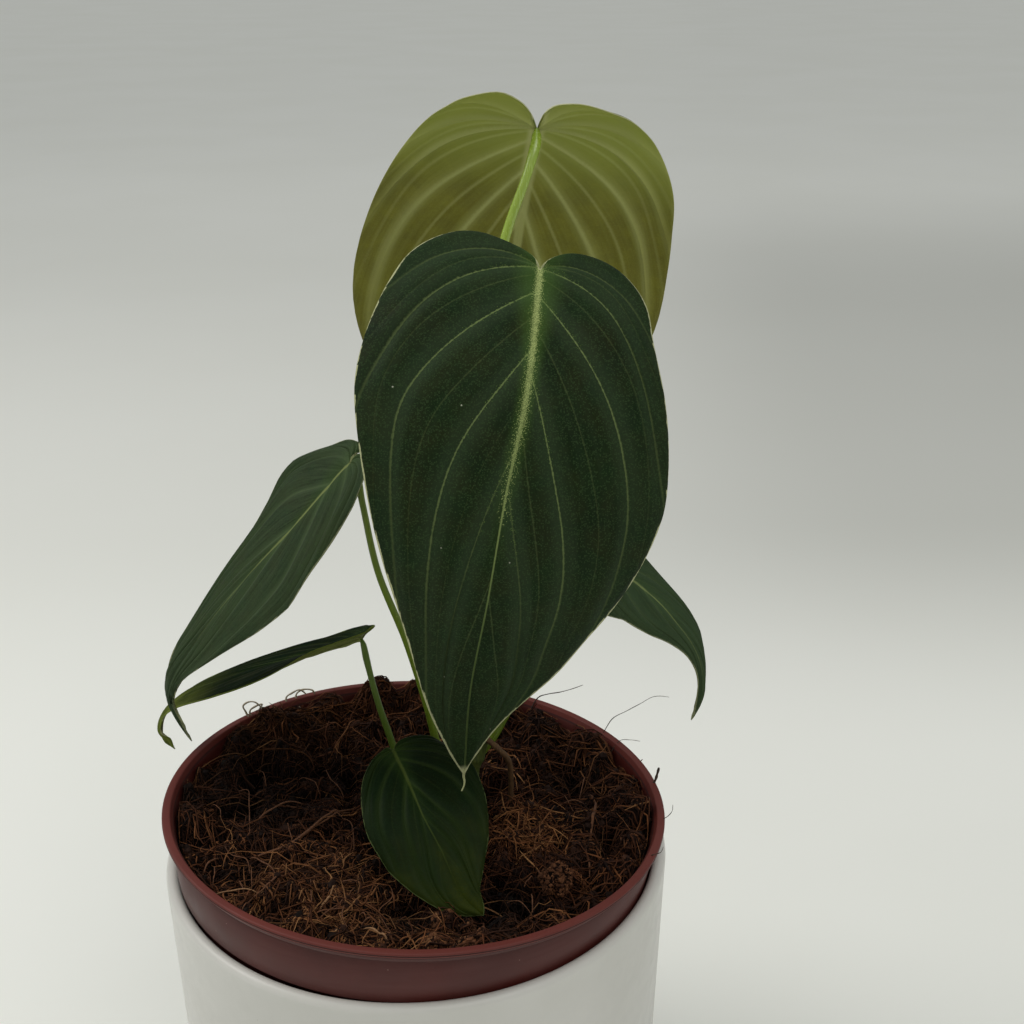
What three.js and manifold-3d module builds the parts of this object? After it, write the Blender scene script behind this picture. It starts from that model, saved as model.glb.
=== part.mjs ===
// A young Philodendron melanochrysum in its nursery pot, standing in a round white cover pot.
// Millimetres, +Z up. The origin is the middle of the cover pot's flat underside.
// Seen from the front, along +Y, the largest leaf faces the viewer.

import * as THREE from "three";
import { mergeVertices } from "three/addons/utils/BufferGeometryUtils.js";
import Module from "manifold-3d";

const wasm = await Module();
wasm.setup();

// Driving sizes: the pots

const fitGap = 0.3;
const roundSides = 48;
const footSteps = 3;
const lipSteps = 4;

const coverHeight = 97;
const coverTopRadius = 60.4;
const coverWall = 3.2;
const coverFloor = 4;
const coverTaper = THREE.MathUtils.degToRad(1.57);
const coverFootRounding = 3;

const rimRadius = 60;
const rimHeight = 108.8;
const rimLeanRight = THREE.MathUtils.degToRad(3.04);
const rimLeanBack = THREE.MathUtils.degToRad(2.05);
const nurseryDepth = 101.5;
const nurseryBaseRadius = 43;
const nurseryWall = 1.2;
const rimBeadWidth = 2;
const rimBeadHeight = 1.2;
const rimGroove = 0.5;
const rimEdge = 0.3;
const collarTopRadius = 58.7;
const collarBottomRadius = 56.8;
const collarDepth = 14.9;
const collarStep = 1.8;
const baseChamfer = 1;
const drainHoleRadius = 3.5;
const drainRingRadius = 28;
const drainHoles = 6;
const drillSides = 12;

// Driving sizes: the soil

const soilLevel = -6.2;
const soilRings = 12;
const soilWaves = [
  { height: 0.75, length: 31, heading: 20, phase: 0.6 },
  { height: 0.65, length: 23, heading: 95, phase: 2.1 },
  { height: 0.55, length: 17, heading: 150, phase: 4.0 },
  { height: 0.45, length: 13, heading: 62, phase: 1.2 },
];
const soilBank = { x: 54, y: -8, height: 2.4, spread: 15 };
const soilMound = { x: 24, y: -20, height: 1.6, spread: 11 };

// Driving sizes: the plant

const bladeThickness = 0.8;
const midribDepth = 0.7;
const veinDepth = 0.25;
const pillowHeight = 0.55;
const veinPitches = 9.5;
const lobeShare = 0.4;
const lobeMarginShare = 0.45;
const midribCrowding = 1.6;
const marginCrowding = 2.4;
const tipSpread = 0.25;
const veinArch = 0.3;
const archLimit = 0.97;
const bladeSteps = [0, 0.14, 0.42, 0.74, 1];
const coarseLines = 14;
const spanSteps = 60;
const marginSamples = 200;
const petioleEnd = 2.5;
const barStep = 6;
const fewestBarSteps = 8;
const stemSides = 10;
const petioleSides = 8;
const rootSides = 6;

const stemPath = [
  [10, 8, 88],
  [10.6, 8, 103],
  [12.3, 8, 111],
  [14.6, 8, 118],
  [16.6, 8.4, 125],
  [17.6, 9, 131],
];
const stemRadii = [3.2, 2.3];

const rootPath = [
  [16.6, 6.2, 121],
  [20, 4.6, 118.5],
  [22.2, 5.4, 115],
  [22.8, 6.6, 108],
  [22.4, 7.4, 98],
];
const rootRadii = [0.75, 0.6];

// Every leaf: its midrib runs from a point behind the petiole's seat, through the seat, to the tip.
// "faces" are the directions that the upper side looks, at the seat and at the tip.
// Each half of the outline gives distance along the midrib and distance out from it.
// "fold" turns both halves down at the midrib, "curl" adds degrees for each millimetre outwards.

const leaves = [
  {
    name: "back",
    midrib: [
      [31.4, 27.5, 270.5],
      [29.6, 42, 260.4],
      [26, 62, 237],
      [23, 72, 208],
      [20, 76, 178],
      [18, 73, 150],
      [17, 68, 137],
    ],
    faces: [[0.07, 0.7, 0.7], [0.07, 1, 0.1]],
    fold: [0, 5],
    curl: [0.2, 0.4],
    left: [
      [-5.4, 1.1], [-11.2, 3.8], [-14.2, 9], [-11.1, 18.4], [-4.5, 24.3], [6.5, 31.5],
      [16.2, 35.7], [28, 37.7], [40, 38.6], [57, 38.2], [76, 33], [100, 20], [124, 4.5],
    ],
    right: [
      [-4.5, 2.2], [-10, 5.5], [-14.2, 10.5], [-11.5, 17.4], [-3.6, 22.5], [5.8, 27.6],
      [17.4, 33], [30.6, 37.3], [50, 41], [64, 40], [82, 33], [104, 19], [124, 4.5],
    ],
    wave: { height: 0.9, count: 5, phase: 0.5 },
    petiole: [
      [17.9, 9.3, 133],
      [16.5, 13, 152],
      [14.5, 21, 180],
      [16, 28.5, 208],
      [22.2, 34, 237],
      [27.3, 36.5, 251],
    ],
    petioleRadii: [1.7, 1],
  },
  {
    name: "front",
    midrib: [
      [30, 6, 247],
      [29.3, -8, 239.2],
      [26.5, -26, 219],
      [22, -34, 199],
      [18.5, -36, 178.7],
      [14.5, -32, 155.9],
      [12.5, -24, 130],
    ],
    faces: [[0.15, -0.75, 0.65], [0.15, -1, 0.1]],
    fold: [4, 6],
    curl: [0.35, 0.5],
    left: [
      [-2.4, 1.6], [-6.7, 8.5], [-9.5, 16], [-5, 24], [5.4, 30], [19.5, 33.7],
      [35, 33.2], [54, 26.3], [70, 20], [88, 12.5], [105, 6.6], [116, 2.4],
    ],
    right: [
      [-2, 1.4], [-6.1, 7.8], [-5, 15.5], [2.3, 22.6], [12, 25.6], [24.5, 29.5],
      [47, 34], [64, 31.4], [81, 23.2], [92, 18], [106, 7.4], [116, 1.8],
    ],
    wave: { height: 0.4, count: 5, phase: 2.0 },
    petiole: [
      [16.5, 8, 120.5],
      [20.5, 9, 128],
      [25, 12, 150],
      [28, 14, 180],
      [30, 11, 210],
      [29.8, 3, 228],
    ],
    petioleRadii: [1.7, 1.1],
  },
  {
    name: "left",
    midrib: [
      [-4, -3, 203],
      [-10.7, -5, 197.4],
      [-23.9, -5, 182.3],
      [-39.9, -1, 163.7],
      [-50, 1, 150],
      [-56.5, 3, 139.7],
      [-58.3, 5, 132.8],
      [-57.6, 6, 127.9],
      [-55.2, 8, 119.3],
    ],
    faces: [[-0.74, -0.33, 0.52], [-0.7, -0.6, 0.3]],
    fold: [2, 4],
    curl: [0.2, 0.4],
    left: [
      [-1.8, 1.7], [-0.5, 7.6], [3, 12.3], [10.2, 18.3], [16.6, 21.1], [22, 20.5], [28.2, 15.5],
      [37.2, 10.2], [45.5, 8.9], [55.1, 7.4], [63.7, 6.2], [72.4, 5.7], [79.4, 5.2], [84.2, 3.3], [90, 1.1],
    ],
    right: [
      [-1.5, 1.5], [-0.8, 5.5], [2.2, 9.3], [6.4, 10.9], [13.2, 13.2], [19.7, 15.4], [27.5, 16.8],
      [35.7, 15.2], [45, 12.9], [57.8, 8.5], [71.4, 3.4], [80, 1.2], [90, 0.8],
    ],
    wave: { height: 0.8, count: 6, phase: 0.8 },
    petiole: [
      [10.4, 8.4, 105.5],
      [6.8, 8.2, 111],
      [4.6, 7.8, 119],
      [2.6, 7.4, 129.4],
      [-1.5, 5.4, 147.4],
      [-7.1, 1.5, 167.6],
      [-9.4, -2.6, 186],
    ],
    petioleRadii: [1.3, 0.85],
  },
  {
    name: "left_low",
    midrib: [
      [-9, 15, 146.5],
      [-13.6, 15, 144],
      [-22.6, 17, 139.8],
      [-34.3, 19, 135.2],
      [-47.3, 20, 130.4],
      [-59.2, 21, 124.8],
      [-65, 22, 119.3],
      [-66.5, 21, 114.6],
      [-62.9, 20, 109.6],
    ],
    faces: [[-0.3, 0.3, 0.9], [-0.6, 0.05, 0.6]],
    fold: [-16, 8],
    curl: [0, 0.4],
    left: [
      [-1, 1], [-3, 4], [-3, 6], [0, 8], [6, 9.5], [16, 10.8], [28, 10.8], [42, 7.6], [54, 3], [61, 1.6],
    ],
    right: [
      [-1, 1], [-4, 4], [-4.5, 8], [-1, 12], [6, 15.5], [16, 18], [28, 16.5], [42, 11], [54, 4.2], [61, 1.7],
    ],
    wave: { height: 0.4, count: 4, phase: 1.5 },
    petiole: [
      [-1, 9.6, 94],
      [-3.4, 10.4, 104],
      [-6.4, 11.6, 115.5],
      [-9.8, 13, 127.1],
      [-12.2, 14.4, 138],
    ],
    petioleRadii: [1.1, 0.8],
  },
  {
    name: "right",
    midrib: [
      [38, 11, 168],
      [43.9, 10, 164.9],
      [52.4, 10, 160.5],
      [62.1, 8, 151],
      [67.3, 8, 142],
      [68.8, 8, 133],
      [66.7, 8, 124.5],
    ],
    faces: [[0.56, -0.34, 0.6], [0.7, -0.52, 0.3]],
    fold: [2, 4],
    curl: [0.3, 0.4],
    left: [
      [-1.2, 1], [-4, 5], [-4, 9.5], [0, 12.5], [5, 12.5], [13.5, 11.5],
      [19.3, 9.3], [24.3, 6.2], [30, 3.8], [36, 2.4], [43, 1.5],
    ],
    right: [
      [-1.2, 1], [-4, 5], [-4, 9], [0, 11], [6, 11], [12, 9],
      [19, 8.2], [25, 7.5], [30, 6.4], [33, 4.8], [36, 3.3], [43, 1.5],
    ],
    wave: { height: 0.4, count: 4, phase: 0.2 },
    petiole: [
      [13.8, 8, 114.5],
      [18, 10.5, 118.5],
      [22, 12.6, 125],
      [28, 13, 135],
      [39.5, 11.5, 153],
    ],
    petioleRadii: [1.4, 0.9],
  },
  {
    name: "small",
    midrib: [
      [-8, 4, 126.4],
      [-4.7, -5.6, 125],
      [-1.1, -14.7, 123.5],
      [3.4, -24.3, 119],
      [7.3, -29.3, 114],
      [12.3, -36.7, 107],
      [16.8, -38.8, 103.6],
    ],
    faces: [[0.15, -0.6, 0.8], [0.15, -0.75, 0.65]],
    fold: [0, 4],
    curl: [0.2, 0.4],
    left: [
      [-0.8, 1.6], [1.2, 5.4], [5, 8.3], [10.5, 11], [19.8, 13], [24, 12.7],
      [30, 12], [35, 9.8], [39, 6.8], [43, 3.3],
    ],
    right: [
      [-1.2, 1], [-2.7, 3], [-3.2, 6.8], [-2, 9.8], [1.5, 11.6], [12, 15.6],
      [17.5, 15.6], [25.6, 14.3], [34.5, 8.6], [45.6, 1.8],
    ],
    wave: { height: 0.3, count: 4, phase: 0 },
    petiole: [
      [11, 7, 107],
      [8.4, 2.5, 110.5],
      [3, -1, 115],
      [-2.4, -2.6, 119.6],
    ],
    petioleRadii: [1.2, 0.8],
  },
];

// Materials

function finish(colour, roughness, metalness = 0) {
  return new THREE.MeshStandardMaterial({ color: colour, roughness, metalness });
}

const whiteGlaze = finish(0xe6e6e1, 0.45);
const terracottaPlastic = finish(0x5c2c26, 0.5);
const coir = finish(0x2e1c14, 0.95);
const velvetGreen = finish(0x1c3a22, 0.75);
const youngOlive = finish(0x6d6e22, 0.6);
const petioleGreen = finish(0x5a6b24, 0.5);
const stemGreen = finish(0x4d5a20, 0.6);
const rootBrown = finish(0x5a3a1e, 0.8);

// Small helpers

function vec(point) {
  return new THREE.Vector3(...point);
}

function closedGeometry(positions, triangles) {
  const geometry = new THREE.BufferGeometry();
  geometry.setAttribute("position", new THREE.Float32BufferAttribute(positions, 3));
  geometry.setIndex(triangles);
  return geometry;
}

function toSolid(geometry) {
  const bare = geometry.clone();
  bare.deleteAttribute("normal");
  bare.deleteAttribute("uv");
  const merged = mergeVertices(bare, 1e-4);
  const mesh = new wasm.Mesh({
    numProp: 3,
    vertProperties: new Float32Array(merged.attributes.position.array),
    triVerts: new Uint32Array(merged.index.array),
  });
  return new wasm.Manifold(mesh);
}

function toGeometry(solid) {
  const mesh = solid.getMesh();
  return closedGeometry([...mesh.vertProperties], [...mesh.triVerts]);
}

function node(name, geometry, material) {
  const mesh = new THREE.Mesh(geometry, material);
  mesh.name = name;
  return mesh;
}

function lathe(profile, sides = roundSides) {
  const points = profile.map(([r, z]) => new THREE.Vector2(r, z));
  const geometry = new THREE.LatheGeometry(points, sides);
  geometry.rotateX(Math.PI / 2);
  return geometry;
}

// A round bar along a smooth path, its radius easing from the first value to the second.
// The extruded unit section is scaled ring by ring, about the path.

function taperedBar(path, radii, sides, extraRadius = 0) {
  const curve = new THREE.CatmullRomCurve3(path.map(vec));
  const steps = Math.max(fewestBarSteps, Math.round(curve.getLength() / barStep));
  const section = new THREE.Shape();
  for (let i = 0; i < sides; i += 1) {
    const angle = (2 * Math.PI * i) / sides;
    section[i ? "lineTo" : "moveTo"](Math.cos(angle), Math.sin(angle));
  }
  section.closePath();
  const geometry = new THREE.ExtrudeGeometry(section, { steps, extrudePath: curve, bevelEnabled: false });
  const centres = curve.getSpacedPoints(steps);
  const place = geometry.attributes.position;
  const point = new THREE.Vector3();
  for (let i = 0; i < place.count; i += 1) {
    point.fromBufferAttribute(place, i);
    const ring = nearest(centres, point);
    const radius = THREE.MathUtils.lerp(radii[0], radii[1], ring / steps) + extraRadius;
    point.sub(centres[ring]).setLength(radius).add(centres[ring]);
    place.setXYZ(i, point.x, point.y, point.z);
  }
  return geometry;
}

// The ring that a point belongs to is the one whose centre lies one unit away from it

function nearest(centres, point) {
  const misses = centres.map((centre) => Math.abs(centre.distanceTo(point) - 1));
  return misses.indexOf(Math.min(...misses));
}

// Cover pot: a glazed cup with a rounded lip and a softly rounded foot

function coverPot() {
  const lip = coverWall / 2;
  const shrink = Math.tan(coverTaper);
  const outer = (z) => coverTopRadius - (coverHeight - lip - z) * shrink;
  const foot = coverFootRounding;
  const profile = [[0, 0], [outer(0) - foot, 0]];
  for (let i = 1; i <= footSteps; i += 1) {
    const turn = (Math.PI / 2) * (i / footSteps);
    profile.push([outer(foot) - foot + foot * Math.sin(turn), foot - foot * Math.cos(turn)]);
  }
  for (let i = 0; i <= lipSteps; i += 1) {
    const turn = (Math.PI * i) / lipSteps;
    profile.push([coverTopRadius - lip + lip * Math.cos(turn), coverHeight - lip + lip * Math.sin(turn)]);
  }
  profile.push([outer(coverFloor + foot) - coverWall, coverFloor + foot]);
  profile.push([outer(coverFloor) - coverWall - foot, coverFloor]);
  profile.push([0, coverFloor]);
  return lathe(profile);
}

// Nursery pot: thin moulded wall, collar band and rim bead, with drain holes in the base.
// Its own zero is the middle of the rim's top.

function bodyRadius(z) {
  const top = collarBottomRadius - collarStep;
  const share = (-z - collarDepth) / (nurseryDepth - collarDepth);
  return THREE.MathUtils.lerp(top, nurseryBaseRadius, THREE.MathUtils.clamp(share, 0, 1));
}

function collarRadius(z) {
  return THREE.MathUtils.lerp(collarTopRadius, collarBottomRadius, -z / collarDepth);
}

function soilRadius(z) {
  const outer = z > -collarDepth ? collarRadius(z) : bodyRadius(z);
  return outer - nurseryWall - fitGap;
}

function nurseryPot() {
  const underBead = -rimBeadHeight - rimGroove;
  const profile = [
    [0, -nurseryDepth],
    [nurseryBaseRadius - baseChamfer, -nurseryDepth],
    [nurseryBaseRadius, -nurseryDepth + baseChamfer],
    [bodyRadius(-collarDepth), -collarDepth],
    [collarBottomRadius, -collarDepth],
    [collarRadius(underBead), underBead],
    [collarTopRadius - rimEdge, -rimBeadHeight],
    [rimRadius, -rimBeadHeight + rimEdge],
    [rimRadius, -rimEdge],
    [rimRadius - rimEdge, 0],
    [rimRadius - rimBeadWidth, 0],
    [collarRadius(-rimBeadHeight) - nurseryWall, -rimBeadHeight],
    [collarBottomRadius - nurseryWall, -collarDepth + nurseryWall],
    [bodyRadius(-collarDepth) - nurseryWall, -collarDepth],
    [nurseryBaseRadius - nurseryWall, -nurseryDepth + nurseryWall],
    [0, -nurseryDepth + nurseryWall],
  ];
  let solid = toSolid(lathe(profile));
  for (let i = 0; i < drainHoles; i += 1) {
    const angle = (2 * Math.PI * i) / drainHoles;
    const drill = new THREE.CylinderGeometry(drainHoleRadius, drainHoleRadius, 4 * nurseryWall, drillSides);
    drill.rotateX(Math.PI / 2);
    drill.translate(drainRingRadius * Math.cos(angle), drainRingRadius * Math.sin(angle), -nurseryDepth);
    solid = solid.subtract(toSolid(drill));
  }
  return toGeometry(solid);
}

// Soil: fills the nursery pot, with a lumpy top given by waves, a bank at the right and a low mound

function soilTop(x, y) {
  let z = soilLevel;
  for (const wave of soilWaves) {
    const heading = THREE.MathUtils.degToRad(wave.heading);
    const along = x * Math.cos(heading) + y * Math.sin(heading);
    z += wave.height * Math.sin((2 * Math.PI * along) / wave.length + wave.phase);
  }
  for (const heap of [soilBank, soilMound]) {
    const distance = Math.hypot(x - heap.x, y - heap.y) / heap.spread;
    z += heap.height * Math.exp(-distance * distance);
  }
  return z;
}

function soil() {
  const positions = [];
  const triangles = [];
  const rings = [];
  const addRing = (pointAt) => {
    rings.push(positions.length / 3);
    for (let i = 0; i < roundSides; i += 1) positions.push(...pointAt((2 * Math.PI * i) / roundSides));
  };
  for (let ring = 1; ring <= soilRings; ring += 1) {
    const radius = (soilRadius(soilLevel) * ring) / soilRings;
    addRing((angle) => {
      const x = radius * Math.cos(angle);
      const y = radius * Math.sin(angle);
      return [x, y, soilTop(x, y)];
    });
  }
  const shoulder = -collarDepth + nurseryWall + fitGap;
  const bottom = -nurseryDepth + nurseryWall + fitGap;
  for (const [radius, z] of [
    [collarBottomRadius - nurseryWall - fitGap, shoulder],
    [soilRadius(-collarDepth), -collarDepth],
    [soilRadius(bottom), bottom],
  ]) {
    addRing((angle) => [radius * Math.cos(angle), radius * Math.sin(angle), z]);
  }
  const topCentre = positions.length / 3;
  positions.push(0, 0, soilTop(0, 0));
  const bottomCentre = topCentre + 1;
  positions.push(0, 0, bottom);
  for (let i = 0; i < roundSides; i += 1) {
    const j = (i + 1) % roundSides;
    triangles.push(topCentre, rings[0] + i, rings[0] + j);
    for (let ring = 1; ring < rings.length; ring += 1) {
      const inside = rings[ring - 1];
      const outside = rings[ring];
      triangles.push(inside + i, outside + i, outside + j, inside + i, outside + j, inside + j);
    }
    const last = rings[rings.length - 1];
    triangles.push(bottomCentre, last + j, last + i);
  }
  return closedGeometry(positions, triangles);
}

// Leaves: the flat blade is a fan of vein lines from the midrib to the margin.
// It is then carried along the bent midrib, folded and curled to its sides.

function spineOf(leaf) {
  const curve = new THREE.CatmullRomCurve3(leaf.midrib.map(vec));
  curve.arcLengthDivisions = spanSteps * (leaf.midrib.length - 1);
  const lengths = curve.getLengths();
  const total = lengths[lengths.length - 1];
  const behind = lengths[spanSteps];
  const faces = leaf.faces.map(vec);
  return {
    length: total - behind,
    frame(v) {
      const share = THREE.MathUtils.clamp((v + behind) / total, 0, 1);
      const grown = THREE.MathUtils.clamp(v / (total - behind), 0, 1);
      const along = curve.getTangentAt(share);
      const up = faces[0].clone().lerp(faces[1], grown);
      up.addScaledVector(along, -up.dot(along)).normalize();
      const side = new THREE.Vector3().crossVectors(along, up);
      return { point: curve.getPointAt(share), along, up, side, grown };
    },
  };
}

function bladePoint(leaf, spine, side, u, v) {
  const { point, up, side: across, grown } = spine.frame(v);
  const fold = THREE.MathUtils.degToRad(THREE.MathUtils.lerp(leaf.fold[0], leaf.fold[1], grown));
  const curl = THREE.MathUtils.degToRad(THREE.MathUtils.lerp(leaf.curl[0], leaf.curl[1], grown)) || 1e-6;
  const turn = fold + curl * u;
  const out = (Math.sin(turn) - Math.sin(fold)) / curl;
  const rise = (Math.cos(turn) - Math.cos(fold)) / curl;
  const place = point.clone().addScaledVector(across, side * out).addScaledVector(up, rise);
  const normal = up.clone().multiplyScalar(Math.cos(turn)).addScaledVector(across, side * Math.sin(turn));
  return { place, normal };
}

// The margin as a smooth line through its outline points, from the seat round the lobe to the tip

function marginOf(outline, length) {
  const points = [[0, 0], ...outline, [length, 0]].map(([v, u]) => new THREE.Vector3(v, u, 0));
  const curve = new THREE.CatmullRomCurve3(points);
  const samples = curve.getSpacedPoints(marginSamples);
  const reach = (3 * length) / marginSamples;
  return {
    at: (share) => curve.getPointAt(share),
    halfWidth: (v) => Math.max(0, ...samples.filter((p) => Math.abs(p.x - v) < reach).map((p) => p.y)),
  };
}

// One vein line: where it leaves the midrib, where it meets the margin, and the arch between

function pastLobe(s) {
  return Math.max(0, (s - lobeShare) / (1 - lobeShare));
}

function veinStart(length, s) {
  return length * pastLobe(s) ** midribCrowding;
}

function veinLine(margin, length, s) {
  const lobed = Math.min(1, s / lobeShare);
  const start = new THREE.Vector3(veinStart(length, s), 0, 0);
  const left = 1 - pastLobe(s);
  const beyond = 1 - Math.max(left ** marginCrowding, left * tipSpread);
  const end = margin.at(lobeMarginShare * lobed + (1 - lobeMarginShare) * beyond);
  const chord = end.clone().sub(start);
  const arch = new THREE.Vector3(-chord.y, chord.x, 0).multiplyScalar(veinArch);
  const knee = start.clone().addScaledVector(chord, 0.5).add(arch);
  if (knee.x > 0) knee.y = Math.min(knee.y, archLimit * margin.halfWidth(knee.x));
  return new THREE.QuadraticBezierCurve3(start, knee, end);
}

// Lines run along every vein and midway between two of them, and twice as closely near the tip

function veinShares() {
  const shares = [];
  const lines = 2 * veinPitches;
  for (let i = 1; i <= coarseLines; i += 1) shares.push(i / lines);
  for (let i = 2 * coarseLines + 1; i < 2 * lines; i += 1) shares.push(i / (2 * lines));
  return shares;
}

function leafBlade(leaf) {
  const spine = spineOf(leaf);
  const positions = [];
  const triangles = [];
  const outer = [];
  let last = 0;

  function addPair(side, u, v, lift, rib) {
    const { place, normal } = bladePoint(leaf, spine, side, u, v);
    const top = place.clone().addScaledVector(normal, lift + bladeThickness / 2);
    const under = place.addScaledVector(normal, lift - bladeThickness / 2 - rib);
    positions.push(...top.toArray(), ...under.toArray());
    last = positions.length / 3 - 2;
    return last;
  }

  function addFace(a, b, c) {
    if (a === b || b === c || c === a) return;
    triangles.push(a, b, c, a + 1, c + 1, b + 1);
  }

  const shares = veinShares();
  const seat = addPair(1, 0, 0, 0, midribDepth);
  const tip = addPair(1, 0, spine.length, 0, 0);
  const ribs = shares.map((s) => {
    const v = veinStart(spine.length, s);
    return v < bladeThickness / 2 ? seat : addPair(1, 0, v, 0, midribDepth * (1 - v / spine.length));
  });

  for (const side of [1, -1]) {
    const margin = marginOf(side > 0 ? leaf.left : leaf.right, spine.length);
    const lines = [bladeSteps.map(() => seat)];
    shares.forEach((s, i) => {
      const line = veinLine(margin, spine.length, s);
      const between = Math.sin(Math.PI * veinPitches * s) ** 2;
      lines.push(bladeSteps.map((t) => {
        if (t === 0) return ribs[i];
        const { x: v, y: u } = line.getPoint(t);
        const pillow = pillowHeight * between * 4 * t * (1 - t);
        const wave = leaf.wave.height * Math.sin(2 * Math.PI * leaf.wave.count * s + leaf.wave.phase);
        const lift = pillow + wave * t * t * (1 - s);
        return addPair(side, u, v, lift, veinDepth * (1 - between) * (1 - t));
      }));
    });
    lines.push(bladeSteps.map(() => tip));
    for (let i = 1; i < lines.length; i += 1) {
      for (let j = 1; j < bladeSteps.length; j += 1) {
        const a = lines[i - 1][j - 1];
        const b = lines[i][j - 1];
        const c = lines[i][j];
        const d = lines[i - 1][j];
        if (side > 0) {
          addFace(a, c, b);
          addFace(a, d, c);
        } else {
          addFace(a, b, c);
          addFace(a, c, d);
        }
      }
    }
    outer.push(lines.map((line) => line[bladeSteps.length - 1]));
  }

  const [leftEdge, rightEdge] = outer;
  const loop = [...rightEdge, ...leftEdge.slice(1, -1).reverse()];
  loop.forEach((from, i) => {
    const to = loop[(i + 1) % loop.length];
    triangles.push(from, to, from + 1, to, to + 1, from + 1);
  });
  return closedGeometry(positions, triangles);
}

// Petiole: ends square to the blade's underside at its seat, a fit gap short of the midrib

function petiolePath(leaf) {
  const { point, up } = spineOf(leaf).frame(0);
  const reach = bladeThickness / 2 + midribDepth + fitGap;
  const near = point.clone().addScaledVector(up, -reach);
  const below = point.clone().addScaledVector(up, -reach - petioleEnd);
  return [...leaf.petiole, below.toArray(), near.toArray()];
}

function petiole(leaf, stemTool) {
  const bar = toSolid(taperedBar(petiolePath(leaf), leaf.petioleRadii, petioleSides));
  return toGeometry(bar.subtract(stemTool));
}

// Assembly

const pottedUp = new THREE.Group();
pottedUp.position.set(0, 0, rimHeight);
const uprightAxis = new THREE.Vector3(Math.tan(rimLeanRight), Math.tan(rimLeanBack), 1).normalize();
pottedUp.quaternion.setFromUnitVectors(new THREE.Vector3(0, 0, 1), uprightAxis);
pottedUp.updateMatrix();

const stemTool = toSolid(taperedBar(stemPath, stemRadii, stemSides, fitGap));
const leftLow = leaves.find((leaf) => leaf.name === "left_low");
const holeTools = [
  stemTool,
  toSolid(taperedBar(rootPath, rootRadii, rootSides, fitGap)),
  toSolid(taperedBar(petiolePath(leftLow), leftLow.petioleRadii, petioleSides, fitGap)),
];

function soilWithHoles() {
  const intoPot = pottedUp.matrix.clone().invert();
  let solid = toSolid(soil());
  for (const tool of holeTools) {
    const bore = toGeometry(tool).applyMatrix4(intoPot);
    solid = solid.subtract(toSolid(bore));
  }
  return toGeometry(solid);
}

function aerialRoot() {
  const bar = toSolid(taperedBar(rootPath, rootRadii, rootSides));
  return toGeometry(bar.subtract(stemTool));
}

const plant = new THREE.Group();
plant.add(node("stem", taperedBar(stemPath, stemRadii, stemSides), stemGreen));
plant.add(node("aerial_root", aerialRoot(), rootBrown));
for (const leaf of leaves) {
  const young = leaf.name === "back";
  plant.add(node(`leaf_${leaf.name}`, leafBlade(leaf), young ? youngOlive : velvetGreen));
  plant.add(node(`petiole_${leaf.name}`, petiole(leaf, stemTool), petioleGreen));
}

pottedUp.add(node("nursery_pot", nurseryPot(), terracottaPlastic));
pottedUp.add(node("soil", soilWithHoles(), coir));

const whole = new THREE.Group();
whole.add(node("cover_pot", coverPot(), whiteGlaze));
whole.add(pottedUp);
whole.add(plant);

export default whole;
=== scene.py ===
# %% [markdown]
# # A potted Philodendron melanochrysum
# The plant is an aroid with dark velvet leaves, each one a heart with a long drip tip.
# It grows in a thin brown-red nursery pot, and that pot stands in a round white cover pot.
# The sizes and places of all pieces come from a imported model, the frame. This lesson adds the looks:
# finer meshes with the same form, the veins, the coir fibres and the finish of every surface.

import math

import bpy
import numpy as np
from mathutils import Matrix, Vector


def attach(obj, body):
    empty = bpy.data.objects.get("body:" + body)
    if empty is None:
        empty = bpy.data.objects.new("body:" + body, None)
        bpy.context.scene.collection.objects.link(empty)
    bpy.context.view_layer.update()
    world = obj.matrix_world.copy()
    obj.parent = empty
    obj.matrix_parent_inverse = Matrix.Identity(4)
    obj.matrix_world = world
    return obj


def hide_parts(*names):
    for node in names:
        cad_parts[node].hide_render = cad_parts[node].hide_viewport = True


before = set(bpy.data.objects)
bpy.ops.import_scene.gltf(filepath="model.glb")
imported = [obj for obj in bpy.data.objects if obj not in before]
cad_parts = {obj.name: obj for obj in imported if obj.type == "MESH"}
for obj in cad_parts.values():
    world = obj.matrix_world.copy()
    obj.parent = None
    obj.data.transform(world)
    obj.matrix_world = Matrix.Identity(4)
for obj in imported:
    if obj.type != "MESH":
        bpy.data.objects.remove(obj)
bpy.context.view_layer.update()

# %% [markdown]
# ## Camera
# The photograph looks down on the pot by about 22 degrees from arm's length, with a lens of about 49 mm.
# The camera is made first, because it tells how fine each surface has to be.

# %% Camera
MM = 0.001
CAMERA_PLACE = (23.4, -287.4, 301.3)
CAMERA_PITCH = 22.41
CAMERA_ROLL = 0.30

lens = bpy.data.cameras.new("photo_lens")
lens.sensor_width = 36
lens.lens = 49.22
lens.clip_start = 0.01
lens.clip_end = 100
camera = bpy.data.objects.new("photo_camera", lens)
tilt = Matrix.Rotation(math.radians(90 - CAMERA_PITCH), 4, "X")
roll = Matrix.Rotation(math.radians(-CAMERA_ROLL), 4, "Z")
camera.matrix_world = Matrix.Translation(Vector(CAMERA_PLACE) * MM) @ tilt @ roll
bpy.context.scene.collection.objects.link(camera)
bpy.context.scene.camera = camera
print("camera at", [round(x, 3) for x in camera.location], "m")

# %% [markdown]
# ## Helpers for meshes
# Most surfaces here follow a formula, so their points are worked out with numpy, in millimetres,
# and handed to Blender in one go. The helper also counts edges that don't have exactly two faces,
# because a closed skin is what makes a mesh a solid thing.

# %% From points to a piece
def make_mesh(name, points, faces, edges=()):
    mesh = bpy.data.meshes.new(name)
    mesh.from_pydata((np.asarray(points) * MM).tolist(), list(edges), faces)
    piece = bpy.data.objects.new(name, mesh)
    bpy.context.scene.collection.objects.link(piece)
    return piece


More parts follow.
